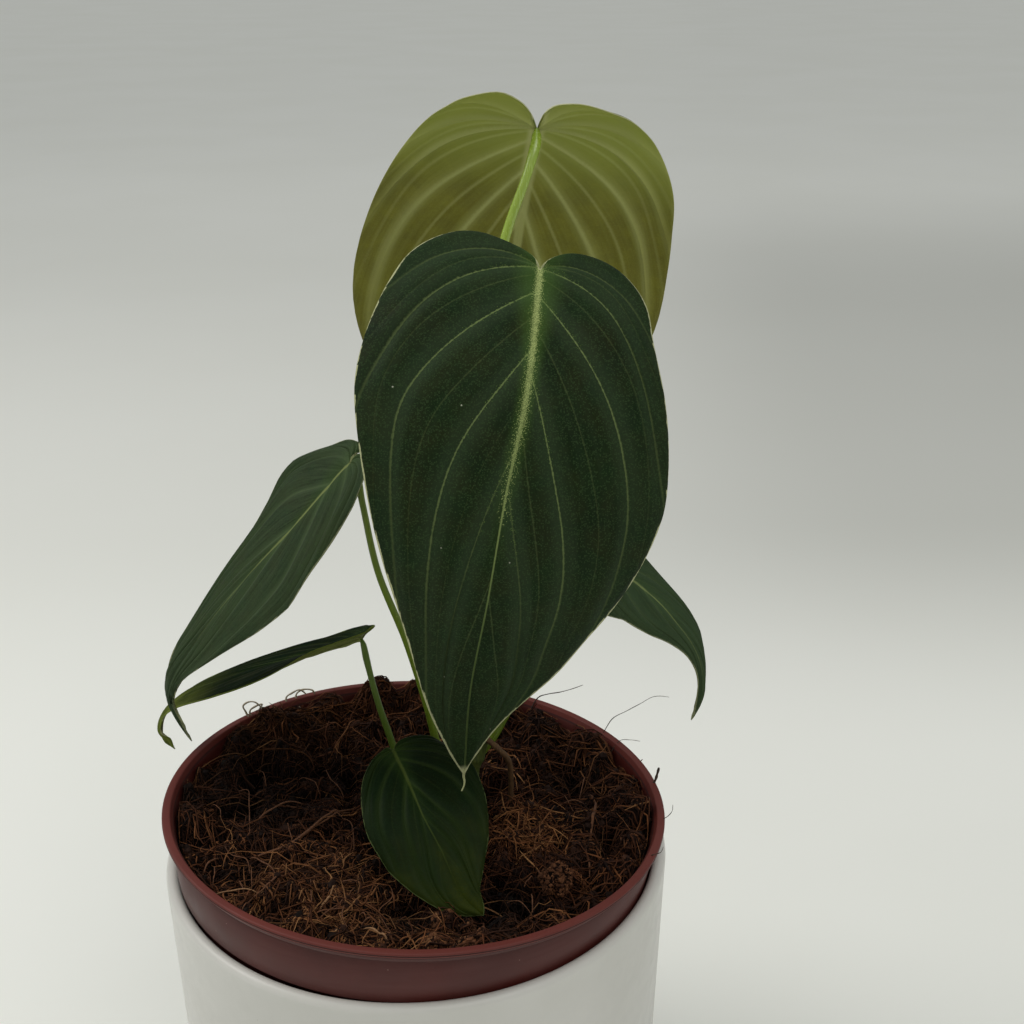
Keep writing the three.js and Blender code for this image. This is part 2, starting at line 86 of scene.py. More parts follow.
def open_edges(mesh):
    corners = np.zeros(len(mesh.loops), int)
    mesh.loops.foreach_get("edge_index", corners)
    uses = np.bincount(corners, minlength=len(mesh.edges))
    return int(np.sum(uses != 2))


def smooth_shade(mesh):
    mesh.polygons.foreach_set("use_smooth", [True] * len(mesh.polygons))


def set_values(mesh, name, values):
    attribute = mesh.attributes.new(name, "FLOAT", "POINT")
    attribute.data.foreach_set("value", np.asarray(values, np.float32).ravel())


def report(piece):
    mesh = piece.data
    mesh.calc_loop_triangles()
    triangles = len(mesh.loop_triangles)
    print(f"{piece.name}: {triangles} triangles, {open_edges(mesh)} open edges")


# %% [markdown]
# Veins, midribs and stalks are drawn through a few points each. One helper passes a smooth line
# through them, and others measure how far along it a place lies.

# %% Smooth lines
def unit(vectors):
    return vectors / np.linalg.norm(vectors, axis=-1, keepdims=True)


def smooth_line(points, span_steps=60):
    """A line that passes smoothly through the points, evenly stepped between each two of them."""
    p = np.asarray(points, float)
    p = np.vstack([2 * p[0] - p[1], p, 2 * p[-1] - p[-2]])
    spans = []
    for i in range(len(p) - 3):
        p0, p1, p2, p3 = p[i:i + 4]
        t1 = math.sqrt(np.linalg.norm(p1 - p0))
        t2 = t1 + math.sqrt(np.linalg.norm(p2 - p1))
        t3 = t2 + math.sqrt(np.linalg.norm(p3 - p2))
        t = np.linspace(t1, t2, span_steps, endpoint=False)[:, None]
        a1 = ((t1 - t) * p0 + t * p1) / t1
        a2 = ((t2 - t) * p1 + (t - t1) * p2) / (t2 - t1)
        a3 = ((t3 - t) * p2 + (t - t2) * p3) / (t3 - t2)
        b1 = ((t2 - t) * a1 + t * a2) / t2
        b2 = ((t3 - t) * a2 + (t - t1) * a3) / (t3 - t1)
        spans.append(((t2 - t) * b1 + (t - t1) * b2) / (t2 - t1))
    return np.vstack([*spans, p[-2:-1]])


def run_along(line):
    steps = np.linalg.norm(np.diff(line, axis=0), axis=1)
    return np.concatenate([[0], np.cumsum(steps)])


def share_along(line):
    """How far along the line each point lies, from 0 to 1."""
    run = run_along(line)
    return run / run[-1]


def between_ends(ends, share):
    return ends[0] + (ends[1] - ends[0]) * share


def pick(values, places, wanted):
    """The columns of values, given at places, read at the wanted places."""
    wanted = np.asarray(wanted, float)
    return np.stack([np.interp(wanted, places, column) for column in values.T], -1)


# %% [markdown]
# ## Helpers for node trees
# Shader trees and geometry trees are wired in the same way: add a node, fill its sockets with values
# or with the outputs of other nodes. One small class does that for both, so that a tree reads like a recipe.

# %% Wiring nodes
SOCKETS = {"float": "NodeSocketFloat", "int": "NodeSocketInt", "vector": "NodeSocketVector",
           "geometry": "NodeSocketGeometry", "material": "NodeSocketMaterial"}


class Wiring:
    def __init__(self, tree):
        self.tree = tree

    def fill(self, socket, value):
        if isinstance(value, bpy.types.NodeSocket):
            self.tree.links.new(value, socket)
        elif value is not None:
            socket.default_value = value

    def add(self, kind, inputs=None, **settings):
        node = self.tree.nodes.new(kind)
        for name, value in settings.items():
            setattr(node, name, value)
        for key, value in (inputs or {}).items():
            self.fill(node.inputs[key], value)
        return node

    def math(self, operation, *values):
        return self.add("ShaderNodeMath", dict(enumerate(values)), operation=operation).outputs[0]

    def times(self, first, second):
        return self.math("MULTIPLY", first, second)

    def plus(self, first, second):
        return self.math("ADD", first, second)

    def minus(self, first, second):
        return self.math("SUBTRACT", first, second)

    def vector(self, operation, *values):
        return self.add("ShaderNodeVectorMath", dict(enumerate(values)), operation=operation).outputs[0]

    def scaled(self, vector, amount):
        return self.add("ShaderNodeVectorMath", {0: vector, 3: amount}, operation="SCALE").outputs[0]

    def parts(self, vector):
        """The x, y and z of a vector."""
        return self.add("ShaderNodeSeparateXYZ", {0: vector}).outputs

    def position(self):
        return self.add("GeometryNodeInputPosition").outputs[0]

    def mix(self, share, low, high):
        return self.add("ShaderNodeMix", {0: share, 6: low, 7: high}, data_type="RGBA").outputs[2]

    def ease(self, value, low, high, first=0.0, last=1.0):
        """A soft step: first below the low value, last above the high one."""
        inputs = {0: value, 1: low, 2: high, 3: first, 4: last}
        return self.add("ShaderNodeMapRange", inputs, interpolation_type="SMOOTHSTEP").outputs[0]

    def combine(self, x=0.0, y=0.0, z=0.0):
        return self.add("ShaderNodeCombineXYZ", {0: x, 1: y, 2: z}).outputs[0]

    def noise(self, vector, scale, detail=2.0, roughness=0.5):
        inputs = {"Vector": vector, "Scale": scale, "Detail": detail, "Roughness": roughness}
        return self.add("ShaderNodeTexNoise", inputs)


def new_group(name, kind, inputs, outputs):
    """A node group with named sockets. An input is a name with its type and, where it has one, its value."""
    tree = bpy.data.node_groups.new(name, kind)
    for socket_name, (socket_type, *default) in inputs.items():
        socket = tree.interface.new_socket(socket_name, in_out="INPUT", socket_type=SOCKETS[socket_type])
        if default:
            socket.default_value = default[0]
    for socket_name, socket_type in outputs.items():
        tree.interface.new_socket(socket_name, in_out="OUTPUT", socket_type=SOCKETS[socket_type])
    wiring = Wiring(tree)
    return tree, wiring, wiring.add("NodeGroupInput").outputs, wiring.add("NodeGroupOutput").inputs


def end_tree(wiring, geometry, given, socket):
    """The last two steps of each geometry tree: instances are made real, and the material is set."""
    real = wiring.add("GeometryNodeRealizeInstances", {0: geometry}).outputs[0]
    dressed = wiring.add("GeometryNodeSetMaterial", {"Geometry": real, "Material": given["Finish"]})
    wiring.fill(socket, dressed.outputs[0])


# %% [markdown]
# ## Shared surface effects
# A few effects turn up on almost every surface of a plant and its pot: slow patches of tone,
# fine specks, thin drawn lines such as veins, and a fine grain under the light.
# Each is a shader node group that is built once and placed in many materials with other values.
# They all read a position in millimetres, so a size in a group is a real size.

# %% Patches of tone
patches_group, w, given, out = new_group(
    "Tone Patches", "ShaderNodeTree",
    {"Place": ("vector",), "Size": ("float", 10.0), "Sharpness": ("float", 0.5)}, {"Mask": "float"})
spread = w.math("DIVIDE", 1.0, given["Size"])
cloud = w.noise(given["Place"], spread, detail=3.0).outputs[0]
edge = w.times(w.minus(1.0, given["Sharpness"]), 0.3)
w.fill(out["Mask"], w.ease(cloud, w.minus(0.5, edge), w.plus(0.5, edge)))

# %% [markdown]
# Dust, pinholes and pale dots are small and scattered. A cell texture offers one dot for each of its
# cells, and the random colour of the cell decides whether that dot is drawn.

# %% Fine specks
specks_group, w, given, out = new_group(
    "Fine Specks", "ShaderNodeTree",
    {"Place": ("vector",), "Size": ("float", 0.5), "Share": ("float", 0.2), "Dot": ("float", 0.5)},
    {"Mask": "float"})
spread = w.math("DIVIDE", 1.0, given["Size"])
cells = w.add("ShaderNodeTexVoronoi", {"Vector": given["Place"], "Scale": spread})
chosen = w.add("ShaderNodeSeparateColor", {0: cells.outputs["Color"]}).outputs[0]
is_chosen = w.math("LESS_THAN", chosen, given["Share"])
dot = w.ease(cells.outputs["Distance"], w.times(given["Dot"], 0.4), given["Dot"], 1.0, 0.0)
w.fill(out["Mask"], w.times(dot, is_chosen))

# %% [markdown]
# Veins, margins and midribs are lines. A painted picture of them would blur from close by, so the mesh
# carries the distance to each line, and this group turns that distance into a soft, ragged line.

# %% Drawn lines
lines_group, w, given, out = new_group(
    "Drawn Line", "ShaderNodeTree",
    {"Place": ("vector",), "Gap": ("float", 1.0), "Half Width": ("float", 0.2),
     "Softness": ("float", 0.2), "Break-up": ("float", 0.2)}, {"Mask": "float"})
ragged = w.minus(w.noise(given["Place"], 1.6, detail=2.0).outputs[0], 0.5)
gap = w.plus(given["Gap"], w.times(ragged, given["Break-up"]))
outer = w.plus(given["Half Width"], given["Softness"])
w.fill(out["Mask"], w.ease(gap, given["Half Width"], outer, 1.0, 0.0))

# %% [markdown]
# No surface is quite smooth under a low light. Two noises, one fine and one coarse, add up to the height
# that the bump of each material uses.

# %% Surface grain
grain_group, w, given, out = new_group(
    "Surface Grain", "ShaderNodeTree",
    {"Place": ("vector",), "Size": ("float", 0.3), "Coarse Size": ("float", 3.0),
     "Coarse Share": ("float", 0.5)},
    {"Height": "float"})
fine = w.noise(given["Place"], w.math("DIVIDE", 1.0, given["Size"]), detail=1.0).outputs[0]
coarse = w.noise(given["Place"], w.math("DIVIDE", 1.0, given["Coarse Size"]), detail=1.0).outputs[0]
w.fill(out["Height"], w.plus(fine, w.times(coarse, given["Coarse Share"])))
print("shader groups:", [group.name for group in bpy.data.node_groups])

# %% [markdown]
# A material starts from the same few steps each time, so they have a helper: a Principled shader,
# the Object coordinates turned into millimetres, and short calls for the shared effects.
# Colours are written as a painter reads them from a screen, from 0 to 255, and made linear here.

# %% Starting a material
def colour(red, green, blue):
    channels = []
    for value in (red, green, blue):
        share = value / 255
        channels.append(share / 12.92 if share <= 0.04045 else ((share + 0.055) / 1.055) ** 2.4)
    return (*channels, 1.0)


class Finish(Wiring):
    def __init__(self, name, **plain):
        self.material = bpy.data.materials.new(name)
        self.material.use_nodes = True
        super().__init__(self.material.node_tree)
        self.shader = self.tree.nodes["Principled BSDF"]
        for socket, value in plain.items():
            self.shader.inputs[socket.replace("_", " ")].default_value = value
        self.place = self.scaled(self.add("ShaderNodeTexCoord").outputs["Object"], 1 / MM)

    def use(self, group, **inputs):
        node = self.add("ShaderNodeGroup", node_tree=group)
        self.fill(node.inputs["Place"], inputs.pop("place", self.place))
        for name, value in inputs.items():
            self.fill(node.inputs[name.replace("__", "-").replace("_", " ")], value)
        return node.outputs[0]

    def attribute(self, name):
        return self.add("ShaderNodeAttribute", attribute_name=name).outputs["Fac"]

    def bump(self, height, strength, distance):
        inputs = {"Height": height, "Strength": strength, "Distance": distance * MM}
        self.fill(self.shader.inputs["Normal"], self.add("ShaderNodeBump", inputs).outputs[0])

    def over(self, base, tone, share):
        """A tone laid over the base colour, as strongly as the share says."""
        return self.mix(share, base, colour(*tone))

    def done(self, base, roughness):
        self.fill(self.shader.inputs["Base Color"], base)
        self.fill(self.shader.inputs["Roughness"], roughness)
        return self.material


# %% [markdown]
# ## White cover pot
# The outer pot is a cast cup with a satin white glaze: straight wall, a full round lip and a soft foot.
# A cup follows a simple rule, a profile turned round an axis, so a geometry tree makes it.
# The tree lays a flat grid, rolls it up, and reads how far out and how high each row lies
# from the points of the profile. A trace of ovalness keeps it from looking like a computed solid.

# %% The turning tree
turn_tree, w, given, out = new_group(
    "Turned Pot", "GeometryNodeTree",
    {"Profile": ("geometry",), "Rows": ("int", 10), "Sides": ("int", 192), "Ovalness": ("float", 0.001),
     "Finish": ("material",)}, {"Pot": "geometry"})
columns = w.plus(given["Sides"], 1.0)
grid = w.add("GeometryNodeMeshGrid", {"Size X": 1.0, "Size Y": 1.0, "Vertices X": columns,
                                      "Vertices Y": given["Rows"]})
flat = w.parts(w.position())
angle = w.times(w.plus(flat[0], 0.5), 2 * math.pi)
row = w.times(w.plus(flat[1], 0.5), w.minus(given["Rows"], 1.0))
sample = w.add("GeometryNodeSampleIndex", {"Geometry": given["Profile"], "Index": w.math("ROUND", row)},
               data_type="FLOAT_VECTOR", domain="POINT")
w.fill(sample.inputs["Value"], w.position())
read = w.parts(sample.outputs[0])
oval = w.math("SINE", w.times(angle, 2.0))
radius = w.times(read[0], w.plus(1.0, w.times(oval, given["Ovalness"])))
rolled = w.combine(w.times(radius, w.math("COSINE", angle)),
                   w.times(radius, w.math("SINE", angle)), read[2])
placed = w.add("GeometryNodeSetPosition", {"Geometry": grid.outputs[0], "Position": rolled}).outputs[0]
closed = w.add("GeometryNodeMergeByDistance", {"Geometry": placed, "Distance": 1e-6}).outputs[0]
smooth = w.add("GeometryNodeSetShadeSmooth", {"Geometry": closed}).outputs[0]
end_tree(w, smooth, given, out["Pot"])


# %% [markdown]
# A tree runs as a modifier. Its inputs are set by identifier before Blender evaluates it, the result
# is copied out as a plain mesh, and the modifier is gone again.

# %% Running a geometry tree
def grow(source, tree, name, **inputs):
    """Runs a tree on an object and keeps the result as a plain mesh, under a new name."""
    modifier = source.modifiers.new("tree", "NODES")
    modifier.node_group = tree
    named = {item.name: item.identifier for item in tree.interface.items_tree if item.in_out == "INPUT"}
    for title, value in inputs.items():
        modifier[named[title.replace("_", " ")]] = value
    graph = bpy.context.evaluated_depsgraph_get()
    mesh = bpy.data.meshes.new_from_object(source.evaluated_get(graph))
    source.modifiers.remove(modifier)
    bpy.data.objects.remove(source)
    mesh.name = name
    piece = bpy.data.objects.new(name, mesh)
    bpy.context.scene.collection.objects.link(piece)
    return piece


POT_SIDES = 192


def turned(name, profile, finish, ovalness):
    points = [(r, 0, z) for r, z in profile]
    source = make_mesh(name + "_profile", points, [], [(i, i + 1) for i in range(len(points) - 1)])
    return grow(source, turn_tree, name, Rows=len(points), Sides=POT_SIDES, Ovalness=ovalness, Finish=finish)


# %% [markdown]
# The profile of a pot is a row of points from its axis to its axis. Round corners are short arcs,
# and long straight stretches get points between, so that the tree's quads stay near square.

# %% Rounded corners
def arc(centre, radius, first, last, steps=8):
    """Points on a round corner, angles in degrees from the outward direction, turning up."""
    angles = np.radians(np.linspace(first, last, steps + 1))
    return [(centre[0] + radius * math.cos(a), centre[1] + radius * math.sin(a)) for a in angles]


def straight(first, last, steps):
    return [tuple(point) for point in np.linspace(first, last, steps + 1)[1:-1]]


# %% [markdown]
# The glaze is not a flat white: it carries faint clouds of warmer and cooler tone,
# a few dark pinholes and dust specks, and a fine unevenness that softens its highlights.

# %% Satin white glaze
def white_glaze():
    glaze = Finish("white_glaze", Specular_IOR_Level=0.4, Coat_Roughness=0.25)
    clouds = glaze.use(patches_group, Size=34.0, Sharpness=0.2)
    base = glaze.mix(clouds, colour(204, 203, 197), colour(212, 211, 206))
    dust = glaze.use(specks_group, Size=4.0, Share=0.2, Dot=0.05)
    base = glaze.over(base, (150, 140, 125), glaze.times(dust, 0.5))
    worn = glaze.use(patches_group, Size=7.0, Sharpness=0.5)
    roughness = glaze.plus(0.34, glaze.times(worn, 0.1))
    glaze.fill(glaze.shader.inputs["Coat Weight"], glaze.times(worn, 0.25))
    glaze.bump(glaze.use(grain_group, Size=0.6, Coarse_Size=9.0, Coarse_Share=3.0), 0.12, 0.1)
    return glaze.done(base, roughness)


# %% [markdown]
# One closed profile gives the whole pot: out along the underside, round the foot, up the wall, over
# the lip, and down the inside to the floor.

# %% Cover pot
COVER_HEIGHT = 97
COVER_TOP_RADIUS = 60.4
COVER_WALL = 3.2
COVER_FLOOR = 4
COVER_TAPER = math.tan(math.radians(1.57))
COVER_FOOT = 3
COVER_FOOT_INSIDE = 3


def cover_profile():
    lip = COVER_WALL / 2
    shoulder = COVER_HEIGHT - lip

    def outer(z):
        return COVER_TOP_RADIUS - (shoulder - z) * COVER_TAPER

    profile = [(0, 0), *straight((0, 0), (outer(0) - COVER_FOOT, 0), 8)]
    profile += arc((outer(COVER_FOOT) - COVER_FOOT, COVER_FOOT), COVER_FOOT, -90, 0)
    profile += straight((outer(COVER_FOOT), COVER_FOOT), (COVER_TOP_RADIUS, shoulder), 16)
    profile += arc((COVER_TOP_RADIUS - lip, shoulder), lip, 0, 180, 14)
    low = COVER_FLOOR + COVER_FOOT_INSIDE
    inner = outer(low) - COVER_WALL
    profile += straight((COVER_TOP_RADIUS - COVER_WALL, shoulder), (inner, low), 16)
    corner = (inner - COVER_FOOT_INSIDE, low)
    profile += arc(corner, COVER_FOOT_INSIDE, 0, -90)
    profile += [*straight((corner[0], COVER_FLOOR), (0, COVER_FLOOR), 8), (0, COVER_FLOOR)]
    return profile


cover_pot = turned("cover_pot_glazed", cover_profile(), white_glaze(), 0.0012)
report(cover_pot)

# %% [markdown]
# ## Nursery pot
# The inner pot is injection moulded from thin brown-red plastic. It has a stiffening bead at the rim,
# a fine groove below it, a wide collar band, a step in, and a body that narrows to a base with drain holes.
# It leans a little in the cover pot, so it is turned upright first and then laid over by one matrix.

# %% The lean of the nursery pot
RIM_HEIGHT = 108.8
RIM_LEAN_RIGHT = 3.04
RIM_LEAN_BACK = 2.05

upright = Vector((math.tan(math.radians(RIM_LEAN_RIGHT)), math.tan(math.radians(RIM_LEAN_BACK)), 1))
lean = Vector((0, 0, 1)).rotation_difference(upright.normalized()).to_matrix().to_4x4()
pot_matrix = Matrix.Translation((0, 0, RIM_HEIGHT * MM)) @ lean
print("the nursery pot leans", round(math.degrees(upright.angle(Vector((0, 0, 1)))), 2), "degrees")

# %% [markdown]
# The profile is drawn upright with its rim at height zero, because the lean turns the pot about
# the middle of its rim.

# %% Nursery pot profile
NURSERY_RIM = 60
NURSERY_DEPTH = 101.5
NURSERY_BASE = 43
NURSERY_WALL = 1.2
BEAD_WIDTH = 2
BEAD_HEIGHT = 1.2
BEAD_ROUND = 0.45
CREASE = 0.66
GROOVE = 0.5
COLLAR_TOP = 58.7
COLLAR_BOTTOM = 56.8
COLLAR_DEPTH = 14.9
COLLAR_STEP = 1.8
FINE_LINE_DEPTH = 3.3
FINE_LINE = 0.22


def collar_radius(z):
    return COLLAR_TOP + (COLLAR_BOTTOM - COLLAR_TOP) * -z / COLLAR_DEPTH


def nursery_profile():
    body_top = COLLAR_BOTTOM - COLLAR_STEP
    inner_bead = NURSERY_RIM - BEAD_WIDTH + BEAD_ROUND
    outer_bead = NURSERY_RIM - BEAD_ROUND
    under = -BEAD_HEIGHT - GROOVE
    base = -NURSERY_DEPTH
    profile = [(0, base), *straight((0, base), (NURSERY_BASE - 1, base), 10)]
    profile += arc((NURSERY_BASE - 1, base + 1), 1, -90, 0, 5)
    profile += straight((NURSERY_BASE, base + 1), (body_top, -COLLAR_DEPTH), 24)
    profile += [(body_top, -COLLAR_DEPTH)]
    profile += arc((COLLAR_BOTTOM - 0.4, -COLLAR_DEPTH + 0.4), 0.4, -90, 0, 4)
    for depth, dip in ((-FINE_LINE_DEPTH - FINE_LINE, 0), (-FINE_LINE_DEPTH, FINE_LINE),
                       (-FINE_LINE_DEPTH + FINE_LINE, 0)):
        profile += [(collar_radius(depth) - dip, depth)]
    profile += [(collar_radius(under - 0.15), under - 0.15), (collar_radius(under) - 0.25, under)]
    profile += [(collar_radius(under) - 0.35, -BEAD_HEIGHT)]
    profile += arc((outer_bead, -BEAD_HEIGHT + BEAD_ROUND), BEAD_ROUND, -90, 0, 5)
    profile += [(NURSERY_RIM - 0.14, -CREASE), (NURSERY_RIM - 0.02, -CREASE + 0.08)]
    profile += arc((outer_bead, -BEAD_ROUND), BEAD_ROUND, 0, 90, 5)
    profile += arc((inner_bead, -BEAD_ROUND), BEAD_ROUND, 90, 180, 5)
    inner = [(collar_radius(-BEAD_HEIGHT) - NURSERY_WALL, -BEAD_HEIGHT - 0.3),
             (COLLAR_BOTTOM - NURSERY_WALL, -COLLAR_DEPTH + NURSERY_WALL),
             (body_top - NURSERY_WALL, -COLLAR_DEPTH),
             (NURSERY_BASE - NURSERY_WALL, base + NURSERY_WALL), (0, base + NURSERY_WALL)]
    for first, last in zip(inner, inner[1:]):
        profile += [first, *straight(first, last, 8)]
    return [*profile, inner[-1]]


# %% [markdown]
# The plastic is a duller purple brown on the band, which wears a thin haze of dust and hard water.
# On the bead a lighter brick red is painted where light grazes it. Painted shade darkens the groove
# under the bead, the crease in its side and the wall inside the white pot, and a painted highlight
# runs along the bead's lower edge. Moulded plastic of this kind has a soft sheen, fine flow marks
# round the wall, and soil dust that clings under the rim.

# %% Brown-red plastic
def terracotta_plastic():
    plastic = Finish("terracotta_plastic", Specular_IOR_Level=0.4)
    height = plastic.parts(plastic.place)[2]
    clouds = plastic.use(patches_group, Size=22.0, Sharpness=0.2)
    base = plastic.mix(clouds, colour(67, 21, 16), colour(79, 26, 20))
    haze = plastic.use(patches_group, Size=9.0, Sharpness=0.1)
    stretched = plastic.vector("MULTIPLY", plastic.place, (0.15, 0.15, 3.0))
    flow = plastic.use(patches_group, place=stretched, Size=4.0, Sharpness=0.1)
    dusty = plastic.times(haze, plastic.plus(0.03, plastic.times(flow, 0.05)))
    base = plastic.over(base, (142, 112, 108), dusty)
    level = plastic.attribute("level")

    def ring_at(depth, full, gone, share):
        """A line round the pot at a depth below the rim."""
        away = plastic.math("ABSOLUTE", plastic.plus(level, depth))
        return plastic.ease(away, full, gone, share, 0.0)

    # Painted light: a lighter red on the bead, where the light grazes it.
    lit_bead_tone = plastic.mix(clouds, colour(90, 33, 26), colour(100, 38, 30))
    on_bead = plastic.ease(level, -1.75, -1.5)
    base = plastic.mix(on_bead, base, lit_bead_tone)
    # Painted shade: a dark line in the groove under the bead.
    base = plastic.over(base, (44, 17, 15), ring_at(1.5, 0.1, 0.35, 0.8))
    outside = plastic.ease(plastic.attribute("reach"), NURSERY_RIM - 0.6, NURSERY_RIM - 0.3)
    # Painted shade: a dark line in the crease on the bead's outer side.
    base = plastic.over(base, (40, 12, 10), plastic.times(ring_at(CREASE, 0.06, 0.2, 0.85), outside))
    # Painted highlight: a pale line along the lower edge of the bead.
    base = plastic.over(base, (140, 70, 60), plastic.times(ring_at(1.05, 0.05, 0.2, 0.4), outside))
    chips = plastic.use(specks_group, Size=3.0, Share=0.3, Dot=0.06)
    base = plastic.over(base, (178, 150, 140), plastic.times(chips, 0.45))
    clinging = plastic.use(specks_group, Size=1.2, Share=0.3, Dot=0.18)
    base = plastic.over(base, (48, 26, 20), plastic.times(clinging, 0.35))
    # Painted shade: the wall is darker below 70 to 88 mm high, inside the white pot.
    above = plastic.ease(height, 70.0, 88.0)
    base = plastic.mix(above, plastic.mix(0.35, base, colour(30, 16, 13)), base)
    roughness = plastic.plus(0.38, plastic.times(haze, 0.16))
    roughness = plastic.plus(roughness, plastic.times(on_bead, 0.14))
    plastic.bump(plastic.use(grain_group, Size=0.5, Coarse_Size=7.0, Coarse_Share=4.0), 0.15, 0.08)
    return plastic.done(base, roughness)


# %% [markdown]
# The drain holes are drilled with a Boolean modifier, which is then applied:
# a cutter that holds all six drills in one mesh needs only one cut.

# %% Nursery pot with its drain holes
DRAIN_HOLES = 6
DRAIN_HOLE_RADIUS = 3.5
DRAIN_RING_RADIUS = 28
DRILL_SIDES = 32


def drills():
    points, faces = [], []
    for i in range(DRAIN_HOLES):
        angle = 2 * math.pi * i / DRAIN_HOLES
        middle = (DRAIN_RING_RADIUS * math.cos(angle), DRAIN_RING_RADIUS * math.sin(angle))
        start = len(points)
        for z in (-NURSERY_DEPTH - 3, -NURSERY_DEPTH + 4):
            for j in range(DRILL_SIDES):
                a = 2 * math.pi * j / DRILL_SIDES
                points.append((middle[0] + DRAIN_HOLE_RADIUS * math.cos(a),
                               middle[1] + DRAIN_HOLE_RADIUS * math.sin(a), z))
        low = [start + j for j in range(DRILL_SIDES)]
        high = [start + DRILL_SIDES + j for j in range(DRILL_SIDES)]
        faces += [low[::-1], high]
        faces += [(low[j - 1], low[j], high[j], high[j - 1]) for j in range(DRILL_SIDES)]
    return make_mesh("drills", points, faces)


def apply_modifiers(piece):
    graph = bpy.context.evaluated_depsgraph_get()
    mesh = bpy.data.meshes.new_from_object(piece.evaluated_get(graph))
    piece.modifiers.clear()
    piece.data = mesh


nursery_pot = turned("nursery_pot_moulded", nursery_profile(), terracotta_plastic(), 0.0016)
cutter = drills()
cut = nursery_pot.modifiers.new("drain holes", "BOOLEAN")
cut.object = cutter
apply_modifiers(nursery_pot)
bpy.data.objects.remove(cutter)
set_values(nursery_pot.data, "level", [point.co.z / MM for point in nursery_pot.data.vertices])
set_values(nursery_pot.data, "reach", [point.co.xy.length / MM for point in nursery_pot.data.vertices])
nursery_pot.data.transform(pot_matrix)
report(nursery_pot)

# %% [markdown]
# ## Leaf blades
# A leaf of this plant is built round its veins. They leave the midrib, the first ones from the very seat
# where the petiole joins, and arch out to the margin, crowding towards the drip tip.
# So the blade is modelled as a fan of vein lines, first flat, then carried along the bent midrib,
# folded a little at the midrib and curled to its sides. A plain grid would cut across the veins,
# while here every vein runs along an edge of the mesh, and a groove or a rib can follow it exactly.

